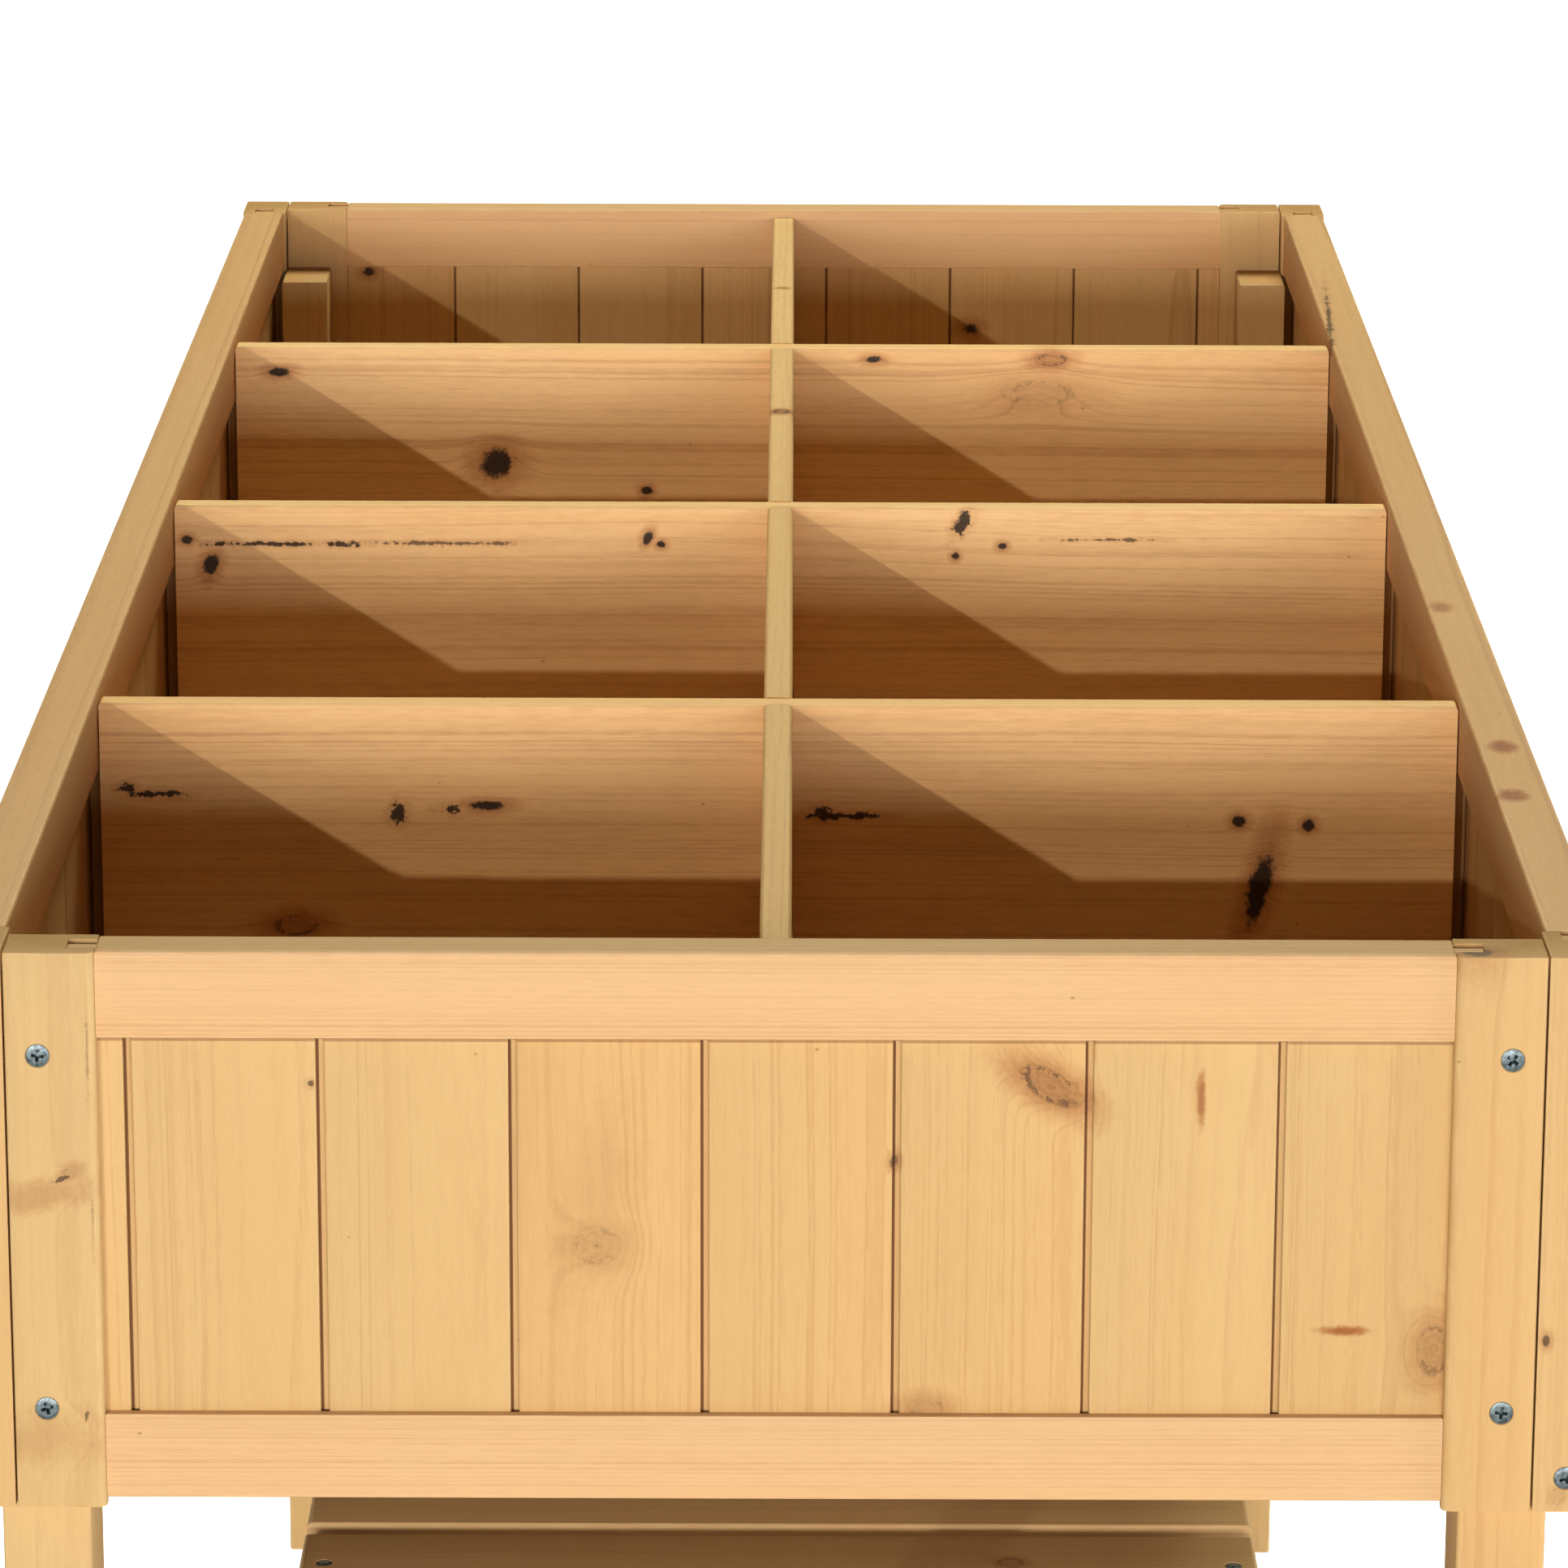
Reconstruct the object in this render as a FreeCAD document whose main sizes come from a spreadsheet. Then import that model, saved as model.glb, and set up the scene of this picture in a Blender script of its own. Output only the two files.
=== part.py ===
"""Raised planter on legs: a framed and boarded box with lift-out dividers over a slatted shelf.

Frame: +X across the planter, +Y along it, +Z up. The origin is the middle of the floor area under
the feet. Lengths are in millimetres. "front" is the -Y end, "left" is the -X side.
"""
import FreeCAD, Part
import math
import os

import Sketcher

ZERO_LENGTH = 1e-9
SAME_PLACE = 1e-4

# How the sketcher names its own axes, its origin and the two ends of a line.
HORIZONTAL_AXIS = -1
VERTICAL_AXIS = -2
ORIGIN = -1
LINE_START = 1
LINE_END = 2

# Driving dimensions, in millimetres unless the name ends in _count.
DRIVING = {
    # overall
    "length": 1100,
    "width": 460,
    "height": 600,
    # framed panels round the box
    "box_height": 162,
    "stile_width": 25,
    "stile_thickness": 18,
    "stile_round": 2.5,
    "stile_corner_round": 3,
    "rail_height": 25,
    "rail_thickness": 15,
    "rail_setback": 2,
    "side_rail_setback": 0.8,
    "rail_lift": 2,
    "rail_round": 1,
    "tenon_length": 8,
    "groove_width": 8,
    "groove_setback": 3,
    "rail_groove_depth": 6,
    "board_end_gap": 1,
    "corner_gap": 0.5,
    # tongue-and-groove boards
    "board_pitch": 53,
    "end_first_strip": 9.3,
    "side_first_strip": 16,
    "reveal_width": 2.3,
    "reveal_depth": 2,
    "tongue_thickness": 3,
    "tongue_length": 3,
    "board_clearance": 0.3,
    # legs
    "leg_width": 25,
    "leg_depth": 32,
    "leg_shoulder": 6,
    "foot_chamfer": 4,
    "leg_top_bevel": 2,
    # dividers and the battens behind their ends
    "divider_thickness": 9,
    "divider_drop": 3,
    "divider_end_gap": 0.5,
    "divider_clearance": 0.3,
    "divider_round": 0.8,
    "batten_size": 15,
    # floor of the box
    "ledger_width": 19,
    "ledger_height": 15,
    "floor_thickness": 9,
    "floor_board_width": 102,
    "floor_board_count": 10,
    "floor_end_gap": 1,
    # shelf
    "shelf_top": 106,
    "shelf_end_gap": 17.5,
    "slat_width": 65,
    "slat_thickness": 12,
    "slat_round": 2.5,
    "slat_count": 13,
    "shelf_rail_width": 20,
    "shelf_rail_height": 35,
    # countersunk screws
    "screw_head_radius": 3.4,
    "screw_head_depth": 2.4,
    "screw_shank_radius": 1.75,
    "panel_screw_length": 35,
    "panel_screw_upper": 29.6,
    "panel_screw_lower": 132.7,
    "side_screw_inset": 45,
    "frame_screw_length": 50,
    "frame_screw_inset": 10,
    "batten_screw_length": 20,
    "batten_screw_inset": 25,
    "floor_screw_length": 22,
    "ledger_screw_length": 30,
    "shelf_screw_length": 30,
    "shelf_rail_screw_length": 40,
    "shelf_rail_screw_spacing": 16,
}

DIVIDERS = ("front", "middle", "back")
SIDES = {"left": -1, "right": 1}
ENDS = {"front": -1, "back": 1}
LEDGER_SCREW_GAPS = (0, 3, 5, 8)


class Size:
    """A length held both as a number and as a formula on the spreadsheet."""

    def __init__(self, text, value):
        self.text = text
        self.value = value

    @staticmethod
    def of(number):
        """Wrap a plain number, or pass a Size through."""
        return number if isinstance(number, Size) else Size(f"{number:g}", float(number))

    def __add__(self, other):
        other = Size.of(other)
        return Size(f"({self.text} + {other.text})", self.value + other.value)

    def __sub__(self, other):
        other = Size.of(other)
        return Size(f"({self.text} - {other.text})", self.value - other.value)

    def __mul__(self, other):
        other = Size.of(other)
        return Size(f"({self.text} * {other.text})", self.value * other.value)

    def __truediv__(self, other):
        other = Size.of(other)
        return Size(f"({self.text} / {other.text})", self.value / other.value)

    def __neg__(self):
        return Size(f"(0 - {self.text})", -self.value)

    __radd__ = __add__
    __rmul__ = __mul__


doc = FreeCAD.newDocument("raised_planter")
sheet = doc.addObject("Spreadsheet::Sheet", "Sizes")
for row, (alias, number) in enumerate(DRIVING.items(), start=1):
    sheet.set(f"A{row}", alias)
    sheet.set(f"B{row}", str(number))
    sheet.setAlias(f"B{row}", alias)
doc.recompute()


def size(alias):
    """The named driving dimension."""
    return Size(f"Sizes.{alias}", float(DRIVING[alias]))


def count(alias):
    """The named driving count."""
    return int(DRIVING[alias])


nodes = {}
screw_groups = {}

# Distances from the planter's middle planes, and heights above the ground.
HALF_LENGTH = size("length") / 2
HALF_WIDTH = size("width") / 2
BOX_INSIDE_X = HALF_WIDTH - size("stile_thickness")
BOX_INSIDE_Y = HALF_LENGTH - size("stile_thickness")
RAIL_INNER_DEPTH = size("rail_setback") + size("rail_thickness")
GROOVE_FRONT = size("rail_setback") + size("groove_setback")
GROOVE_BACK = GROOVE_FRONT + size("groove_width")
LEG_INNER_X = BOX_INSIDE_X - size("leg_width") + size("leg_shoulder")
LEG_OUTER_X = LEG_INNER_X + size("leg_width")
LEG_INNER_Y = BOX_INSIDE_Y - size("leg_depth")
BOX_BOTTOM = size("height") - size("box_height")
RAIL_BOTTOM = BOX_BOTTOM + size("rail_lift")
RIM_RAIL_BOTTOM = size("height") - size("rail_height")
LOW_RAIL_TOP = RAIL_BOTTOM + size("rail_height")
FLOOR_BOTTOM = RAIL_BOTTOM + size("ledger_height")
FLOOR_TOP = FLOOR_BOTTOM + size("floor_thickness")
DIVIDER_TOP = size("height") - size("divider_drop")
DIVIDER_BOTTOM = FLOOR_TOP + size("divider_clearance")
DIVIDER_LAP = (DIVIDER_TOP + DIVIDER_BOTTOM) / 2
INNER_Y = HALF_LENGTH - RAIL_INNER_DEPTH
INNER_X = HALF_WIDTH - RAIL_INNER_DEPTH
SHELF_BOTTOM = size("shelf_top") - size("slat_thickness")


# ---------------------------------------------------------------- building blocks

def bind_position(item, x, y, z):
    """Tie the three coordinates of an object's Placement to the sheet."""
    for axis, place in zip("xyz", (x, y, z)):
        item.setExpression(f"Placement.Base.{axis}", Size.of(place).text)


def between(sign, near, far):
    """Low end and length of the stretch from near to far, on the given side of a middle plane."""
    low = near if sign > 0 else -far
    return low, far - near


def block(label, x, y, z):
    """A box from three (low, length) pairs."""
    item = doc.addObject("Part::Box", label)
    item.Label = label
    for name, (_, extent) in zip(("Length", "Width", "Height"), (x, y, z)):
        item.setExpression(name, extent.text)
    bind_position(item, x[0], y[0], z[0])
    return item


def pin_corner(sketch, line, direction, place):
    """Fix one coordinate of a line's start point, measured from the sketch's origin."""
    if abs(place.value) < ZERO_LENGTH:
        axis = VERTICAL_AXIS if direction == "DistanceX" else HORIZONTAL_AXIS
        sketch.addConstraint(Sketcher.Constraint("PointOnObject", line, LINE_START, axis))
        return
    if place.value > 0:
        rule = Sketcher.Constraint(direction, ORIGIN, LINE_START, line, LINE_START, place.value)
        text = place.text
    else:
        rule = Sketcher.Constraint(direction, line, LINE_START, ORIGIN, LINE_START, -place.value)
        text = (-place).text
    index = sketch.addConstraint(rule)
    sketch.setExpression(f"Constraints[{index}]", text)


def outline(body, plane, *loops):
    """A sketch of closed straight-sided loops on one of the body's origin planes."""
    sketch = body.newObject("Sketcher::SketchObject", f"{body.Name}_outline")
    support = next(part for part in body.Origin.OriginFeatures if part.Role == plane)
    sketch.AttachmentSupport = (support, "")
    sketch.MapMode = "FlatFace"
    for loop in loops:
        corners = [(Size.of(u), Size.of(v)) for u, v in loop]
        points = [FreeCAD.Vector(u.value, v.value, 0) for u, v in corners]
        first = sketch.GeometryCount
        for start, end in zip(points, points[1:] + points[:1]):
            sketch.addGeometry(Part.LineSegment(start, end), False)
        for step, (u, v) in enumerate(corners):
            line = first + step
            following = first + (step + 1) % len(corners)
            sketch.addConstraint(Sketcher.Constraint("Coincident", line, LINE_END,
                                                     following, LINE_START))
            pin_corner(sketch, line, "DistanceX", u)
            pin_corner(sketch, line, "DistanceY", v)
    return sketch


def pad(body, sketch, extent, backwards=False):
    """Extrude a sketch. A sketch on the XZ plane points along -Y, so it needs backwards for +Y."""
    feature = body.newObject("PartDesign::Pad", f"{body.Name}_pad")
    feature.Profile = sketch
    feature.Reversed = backwards
    feature.setExpression("Length", extent.text)
    return feature


def new_body(label, x=0, y=0, z=0):
    """An empty body at a place."""
    body = doc.addObject("PartDesign::Body", label)
    body.Label = label
    bind_position(body, x, y, z)
    return body


def edges_where(shape, test):
    """Names of the straight edges whose two ends both pass the test."""
    names = []
    for number, edge in enumerate(shape.Edges, start=1):
        if len(edge.Vertexes) == 2 and all(test(vertex.Point) for vertex in edge.Vertexes):
            names.append(f"Edge{number}")
    return names


def soften(body, kind, prop, amount, test):
    """Round or bevel the edges of a body's tip that pass the test."""
    doc.recompute([body])
    base = body.Tip
    feature = body.newObject(f"PartDesign::{kind}", f"{body.Name}_{kind}")
    feature.Base = (base, edges_where(base.Shape, test))
    feature.setExpression(prop, amount.text)
    body.Tip = feature
    return feature


def close(value, target):
    """Whether two coordinates are the same."""
    return abs(value - target) < SAME_PLACE


def screw(group, length, head, direction):
    """One countersunk screw: head is its (x, y, z) on the surface, direction the way it is driven."""
    head_cone = doc.addObject("Part::Cone", f"{group}_head")
    shank = doc.addObject("Part::Cylinder", f"{group}_shank")
    turn = FreeCAD.Rotation(FreeCAD.Vector(0, 0, 1), FreeCAD.Vector(*direction))
    for item in (head_cone, shank):
        item.Placement = FreeCAD.Placement(FreeCAD.Vector(), turn)
        bind_position(item, *head)
    head_cone.setExpression("Radius1", size("screw_head_radius").text)
    head_cone.setExpression("Radius2", size("screw_shank_radius").text)
    head_cone.setExpression("Height", size("screw_head_depth").text)
    shank.setExpression("Radius", size("screw_shank_radius").text)
    shank.setExpression("Height", length.text)
    whole = doc.addObject("Part::Fuse", f"{group}_screw")
    whole.Base = head_cone
    whole.Tool = shank
    screw_groups.setdefault(group, []).append(whole)
    return whole


def drill(label, blank, screws):
    """Cut the screws' own shape out of a blank, so that they seat in it, and name the result."""
    blank.Label = f"{label}_blank"
    tool = doc.addObject("Part::Compound", f"{label}_screws")
    tool.Links = screws
    piece = doc.addObject("Part::Cut", f"{label}_drilled")
    piece.Base = blank
    piece.Tool = tool
    piece.Label = label
    return piece


# ---------------------------------------------------------------- framed panels

class Panel:
    """One framed wall of the box: two stiles, two rails and the boards in their grooves.

    u runs along the wall from its middle, and depth runs inwards from its outer face.
    """

    def __init__(self, name, along, side, half_span, first_strip, rail_setback):
        self.name = name
        self.along = along
        self.side = side
        self.half_span = half_span
        self.first_strip = first_strip
        self.rail_setback = rail_setback
        self.half_opening = half_span - size("stile_width")

    def plan(self, u, depth):
        """The (x, y) of a point of the wall."""
        outer = HALF_LENGTH if self.along == "x" else HALF_WIDTH
        across = (outer - depth) * self.side
        return (Size.of(u), across) if self.along == "x" else (across, Size.of(u))

    def lengthwise(self, end):
        """Direction along the wall, from one end's edge towards its middle."""
        return (-end, 0, 0) if self.along == "x" else (0, -end, 0)

    def stile(self, label, end, screws):
        """An upright with a groove for the tenons and boards in its inner edge."""
        outer = self.half_span * end
        inner = self.half_opening * end
        bottom = (self.half_opening + size("tenon_length")) * end
        thickness = size("stile_thickness")
        section = [(outer, Size.of(0)), (outer, thickness), (inner, thickness), (inner, GROOVE_BACK),
                   (bottom, GROOVE_BACK), (bottom, GROOVE_FRONT), (inner, GROOVE_FRONT),
                   (inner, Size.of(0))]
        body = new_body(f"{label}_body", z=BOX_BOTTOM)
        pad(body, outline(body, "XY_Plane", [self.plan(u, d) for u, d in section]), size("box_height"))
        face_x, face_y = [place.value for place in self.plan(inner, Size.of(0))]
        soften(body, "Fillet", "Radius", size("stile_round"),
               lambda p: close(p.x, face_x) and close(p.y, face_y))
        edge = inner.value
        soften(body, "Fillet", "Radius", size("stile_corner_round"),
               lambda p: close(p.z, 0) and close(p.x if self.along == "x" else p.y, edge))
        nodes[label] = drill(label, body, screws)

    def rail(self, label, at_rim, screws):
        """A rail with a tenon at each end and the boards' groove along its inner edge."""
        core = self.half_opening
        tip = self.half_opening + size("tenon_length")
        face = self.rail_setback
        tenoned = [(-core, face), (core, face), (core, GROOVE_FRONT), (tip, GROOVE_FRONT),
                   (tip, GROOVE_BACK), (core, GROOVE_BACK), (core, RAIL_INNER_DEPTH),
                   (-core, RAIL_INNER_DEPTH), (-core, GROOVE_BACK), (-tip, GROOVE_BACK),
                   (-tip, GROOVE_FRONT), (-core, GROOVE_FRONT)]
        front_lip = [(-core, face), (core, face), (core, GROOVE_FRONT), (-core, GROOVE_FRONT)]
        back_lip = [(-core, GROOVE_BACK), (core, GROOVE_BACK), (core, RAIL_INNER_DEPTH),
                    (-core, RAIL_INNER_DEPTH)]
        if at_rim:
            groove_floor = RIM_RAIL_BOTTOM + size("rail_groove_depth")
        else:
            groove_floor = LOW_RAIL_TOP - size("rail_groove_depth")
        body = new_body(f"{label}_body", z=groove_floor)
        solid_height = size("rail_height") - size("rail_groove_depth")
        pad(body, outline(body, "XY_Plane", [self.plan(u, d) for u, d in tenoned]), solid_height,
            backwards=not at_rim)
        lips = [[self.plan(u, d) for u, d in lip] for lip in (front_lip, back_lip)]
        pad(body, outline(body, "XY_Plane", *lips), size("rail_groove_depth"), backwards=at_rim)
        outer_edge = solid_height.value * (1 if at_rim else -1)
        limit = core.value + SAME_PLACE
        faces = [self.plan(0, depth) for depth in (face, RAIL_INNER_DEPTH)]
        walls = [(y if self.along == "x" else x).value for x, y in faces]
        soften(body, "Fillet", "Radius", size("rail_round"),
               lambda p: close(p.z, outer_edge)
               and abs(p.x if self.along == "x" else p.y) < limit
               and any(close(p.y if self.along == "x" else p.x, wall) for wall in walls))
        nodes[label] = drill(label, body, screws)

    def boards(self, label, screws):
        """Upright tongue-and-groove boards, from one full board repeated and trimmed to the grooves.

        They start at the wall's left end as seen from outside, with the rest of a sawn board.
        """
        towards = -1 if self.name in ("back", "left") else 1
        pitch = size("board_pitch")
        gap = size("board_clearance")
        slack = gap / 2
        front = GROOVE_FRONT
        back = GROOVE_BACK
        tongue_front = front + size("reveal_depth")
        tongue_back = tongue_front + size("tongue_thickness")
        shoulder = pitch - size("reveal_width")
        tip = pitch + size("tongue_length")
        socket = size("tongue_length") + gap
        section = [(Size.of(0), front), (shoulder, front), (shoulder, tongue_front),
                   (tip, tongue_front), (tip, tongue_back), (pitch - gap, tongue_back),
                   (pitch - gap, back), (Size.of(0), back), (Size.of(0), tongue_back + slack),
                   (socket, tongue_back + slack), (socket, tongue_front - slack),
                   (Size.of(0), tongue_front - slack)]
        start = -self.half_opening + self.first_strip - pitch
        lower = LOW_RAIL_TOP - size("rail_groove_depth") + size("board_end_gap")
        upper = RIM_RAIL_BOTTOM + size("rail_groove_depth") - size("board_end_gap")
        body = new_body(f"{label}_full", z=lower)
        body.AllowCompound = True
        corners = [self.plan((start + u) * towards, d) for u, d in section]
        profile = outline(body, "XY_Plane", corners)
        board = pad(body, profile, upper - lower)
        run = body.newObject("PartDesign::LinearPattern", f"{label}_run")
        run.Originals = [board]
        run.Direction = (profile, ["H_Axis" if self.along == "x" else "V_Axis"])
        run.Reversed = towards < 0
        run.Mode = "Spacing"
        run.setExpression("Offset", pitch.text)
        covered = (self.half_opening * 2 - self.first_strip).value / pitch.value
        run.Occurrences = math.ceil(covered) + 1
        body.Tip = run
        reach = self.half_opening + size("tenon_length") - size("board_end_gap")
        along_wall = (-reach, reach * 2)
        outer = HALF_LENGTH if self.along == "x" else HALF_WIDTH
        through_wall = between(self.side, outer - GROOVE_BACK, outer - GROOVE_FRONT)
        upright = (lower, upper - lower)
        if self.along == "x":
            limits = block(f"{label}_limits", along_wall, through_wall, upright)
        else:
            limits = block(f"{label}_limits", through_wall, along_wall, upright)
        trimmed = doc.addObject("Part::Common", f"{label}_trimmed")
        trimmed.Base = body
        trimmed.Tool = limits
        if screws:
            nodes[label] = drill(label, trimmed, screws)
        else:
            trimmed.Label = label
            nodes[label] = trimmed


END_PANELS = {name: Panel(name, "x", sign, BOX_INSIDE_X - size("corner_gap"), size("end_first_strip"),
                          size("rail_setback"))
              for name, sign in ENDS.items()}
SIDE_PANELS = {name: Panel(name, "y", sign, HALF_LENGTH, size("side_first_strip"),
                           size("side_rail_setback"))
               for name, sign in SIDES.items()}


# ---------------------------------------------------------------- screws, which the wood is cut by

LEG_SCREW_X = (LEG_INNER_X + BOX_INSIDE_X) / 2
STILE_MIDDLE = size("stile_thickness") / 2
LEG_MIDDLE_Y = BOX_INSIDE_Y - size("leg_depth") / 2
SHELF_RAIL_INNER_X = LEG_INNER_X - size("shelf_rail_width")
SLAT_SCREW_X = LEG_INNER_X - size("shelf_rail_width") / 2
LEDGER_INNER_X = INNER_X - size("ledger_width")


def panel_screws():
    """Screws that join the corners: end stiles to legs, and side stiles to end stiles."""
    found = {}
    drops = (size("panel_screw_upper"), size("panel_screw_lower"))
    for end, end_sign in ENDS.items():
        for side, side_sign in SIDES.items():
            into_leg = [screw("panel_screws", size("panel_screw_length"),
                              (LEG_SCREW_X * side_sign, HALF_LENGTH * end_sign, size("height") - drop),
                              (0, -end_sign, 0)) for drop in drops]
            heights = (size("height") - size("side_screw_inset"), BOX_BOTTOM + size("side_screw_inset"))
            into_end = [screw("panel_screws", size("panel_screw_length"),
                              (HALF_WIDTH * side_sign, (HALF_LENGTH - STILE_MIDDLE) * end_sign, z),
                              (-side_sign, 0, 0)) for z in heights]
            found[end, side] = (into_leg, into_end)
    return found


def frame_screws(panel, end):
    """The two screws that hold a panel's rails, through the edge of one stile."""
    x, y = panel.plan(panel.half_span * end, STILE_MIDDLE)
    heights = (size("height") - size("frame_screw_inset"), BOX_BOTTOM + size("frame_screw_inset"))
    return [screw("frame_screws", size("frame_screw_length"), (x, y, z), panel.lengthwise(end))
            for z in heights]


def divider_back(index):
    """Where the back face of a cross divider stands along Y: the dividers make equal pockets."""
    pocket = (INNER_Y * 2 - size("divider_thickness") * len(DIVIDERS)) / (len(DIVIDERS) + 1)
    return (pocket + size("divider_thickness")) * (index + 1) - INNER_Y


def batten_front(index):
    """Where a batten's front face stands: just clear of its divider's back."""
    return divider_back(index) + size("divider_clearance")


def batten_screws(side_sign, index):
    """The two screws that hold one batten to the side boards."""
    inner_x = (HALF_WIDTH - GROOVE_BACK - size("batten_size")) * side_sign
    y = batten_front(index) + size("batten_size") / 2
    heights = (LOW_RAIL_TOP + size("batten_screw_inset"), RIM_RAIL_BOTTOM - size("batten_screw_inset"))
    return [screw("batten_screws", size("batten_screw_length"), (inner_x, y, z), (side_sign, 0, 0))
            for z in heights]


def spread(index, total, span, piece):
    """Low end of one of total pieces laid evenly over a span that is centred on the origin."""
    pitch = (span - piece) / (total - 1)
    return pitch * index - span / 2


FLOOR_SPAN = BOX_INSIDE_Y * 2
SHELF_SPAN = (LEG_INNER_Y - size("shelf_end_gap")) * 2


def floor_board_low(index):
    """Front edge of one floor board along Y."""
    return spread(index, count("floor_board_count"), FLOOR_SPAN, size("floor_board_width"))


def slat_low(index):
    """Front edge of one shelf slat along Y."""
    return spread(index, count("slat_count"), SHELF_SPAN, size("slat_width"))


def floor_screws():
    """One screw through each end of each floor board into the ledgers, by side and board."""
    x = (LEDGER_INNER_X + INNER_X) / 2
    return {(side, index): screw("floor_screws", size("floor_screw_length"),
                                 (x * sign, floor_board_low(index) + size("floor_board_width") / 2,
                                  FLOOR_TOP), (0, 0, -1))
            for side, sign in SIDES.items() for index in range(count("floor_board_count"))}


def ledger_screws(sign):
    """Screws through a ledger into the bottom rail, between the floor boards' screws."""
    z = RAIL_BOTTOM + size("ledger_height") / 2
    found = []
    for gap in LEDGER_SCREW_GAPS:
        y = (floor_board_low(gap) + floor_board_low(gap + 1) + size("floor_board_width")) / 2
        found.append(screw("ledger_screws", size("ledger_screw_length"),
                           (LEDGER_INNER_X * sign, y, z), (sign, 0, 0)))
    return found


def shelf_screws():
    """One screw through each end of each slat into the shelf rails, by side and slat."""
    return {(side, index): screw("shelf_screws", size("shelf_screw_length"),
                                 (SLAT_SCREW_X * sign, slat_low(index) + size("slat_width") / 2,
                                  size("shelf_top")), (0, 0, -1))
            for side, sign in SIDES.items() for index in range(count("slat_count"))}


def shelf_rail_screws(side_sign, end_sign):
    """The two screws that hold a shelf rail to a leg."""
    middle = SHELF_BOTTOM - size("shelf_rail_height") / 2
    half = size("shelf_rail_screw_spacing") / 2
    return [screw("shelf_rail_screws", size("shelf_rail_screw_length"),
                  (SHELF_RAIL_INNER_X * side_sign, LEG_MIDDLE_Y * end_sign, z), (side_sign, 0, 0))
            for z in (middle - half, middle + half)]


# ---------------------------------------------------------------- pieces

def leg(label, side_sign, end_sign, screws):
    """A leg: rebated so that the side panel sits on its shoulder, with a bevelled foot."""
    top = RIM_RAIL_BOTTOM
    profile = [(LEG_INNER_X, 0), (LEG_OUTER_X, 0), (LEG_OUTER_X, BOX_BOTTOM),
               (BOX_INSIDE_X, BOX_BOTTOM), (BOX_INSIDE_X, top), (LEG_INNER_X, top)]
    y_low, _ = between(end_sign, LEG_INNER_Y, BOX_INSIDE_Y)
    body = new_body(f"{label}_body", y=y_low)
    sketch = outline(body, "XZ_Plane", [(x * side_sign, Size.of(z)) for x, z in profile])
    pad(body, sketch, size("leg_depth"), backwards=True)
    soften(body, "Chamfer", "Size", size("foot_chamfer"), lambda p: close(p.z, 0))
    soften(body, "Chamfer", "Size", size("leg_top_bevel"), lambda p: close(p.z, top.value))
    nodes[label] = drill(label, body, screws)


def centre_divider(label):
    """The long divider, notched from above where the cross dividers drop over it."""
    reach = INNER_Y - size("divider_end_gap")
    slack = size("divider_clearance")
    profile = [(-reach, DIVIDER_BOTTOM), (reach, DIVIDER_BOTTOM), (reach, DIVIDER_TOP)]
    for index in reversed(range(len(DIVIDERS))):
        back = divider_back(index) + slack
        front = divider_back(index) - size("divider_thickness") - slack
        profile += [(back, DIVIDER_TOP), (back, DIVIDER_LAP), (front, DIVIDER_LAP),
                    (front, DIVIDER_TOP)]
    profile.append((-reach, DIVIDER_TOP))
    body = new_body(label, x=-(size("divider_thickness") / 2))
    pad(body, outline(body, "YZ_Plane", profile), size("divider_thickness"))
    soften(body, "Fillet", "Radius", size("divider_round"),
           lambda p: close(p.z, DIVIDER_TOP.value)
           and any(close(p.x, side) for side in (0, size("divider_thickness").value)))
    nodes[label] = body


def cross_divider(label, index):
    """A short divider, notched from below to drop over the long one."""
    reach = INNER_X - size("divider_end_gap")
    notch = size("divider_thickness") / 2 + size("divider_clearance")
    notch_top = DIVIDER_LAP + size("divider_clearance")
    profile = [(-reach, DIVIDER_BOTTOM), (-notch, DIVIDER_BOTTOM), (-notch, notch_top),
               (notch, notch_top), (notch, DIVIDER_BOTTOM), (reach, DIVIDER_BOTTOM),
               (reach, DIVIDER_TOP), (-reach, DIVIDER_TOP)]
    body = new_body(label, y=divider_back(index) - size("divider_thickness"))
    pad(body, outline(body, "XZ_Plane", profile), size("divider_thickness"), backwards=True)
    soften(body, "Fillet", "Radius", size("divider_round"),
           lambda p: close(p.z, DIVIDER_TOP.value)
           and any(close(p.y, side) for side in (0, size("divider_thickness").value)))
    nodes[label] = body


def batten(label, side_sign, index, screws):
    """An upright batten between the rails of a side, behind the end of a cross divider."""
    outer_x = HALF_WIDTH - GROOVE_BACK
    blank = block(f"{label}_block", between(side_sign, outer_x - size("batten_size"), outer_x),
                  (batten_front(index), size("batten_size")),
                  (LOW_RAIL_TOP, RIM_RAIL_BOTTOM - LOW_RAIL_TOP))
    nodes[label] = drill(label, blank, screws)


def ledger(label, side_sign, screws):
    """A long strip inside the bottom rail, between the legs, that carries the floor boards."""
    blank = block(f"{label}_block", between(side_sign, LEDGER_INNER_X, INNER_X),
                  (-LEG_INNER_Y, LEG_INNER_Y * 2), (RAIL_BOTTOM, size("ledger_height")))
    nodes[label] = drill(label, blank, screws)


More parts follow.
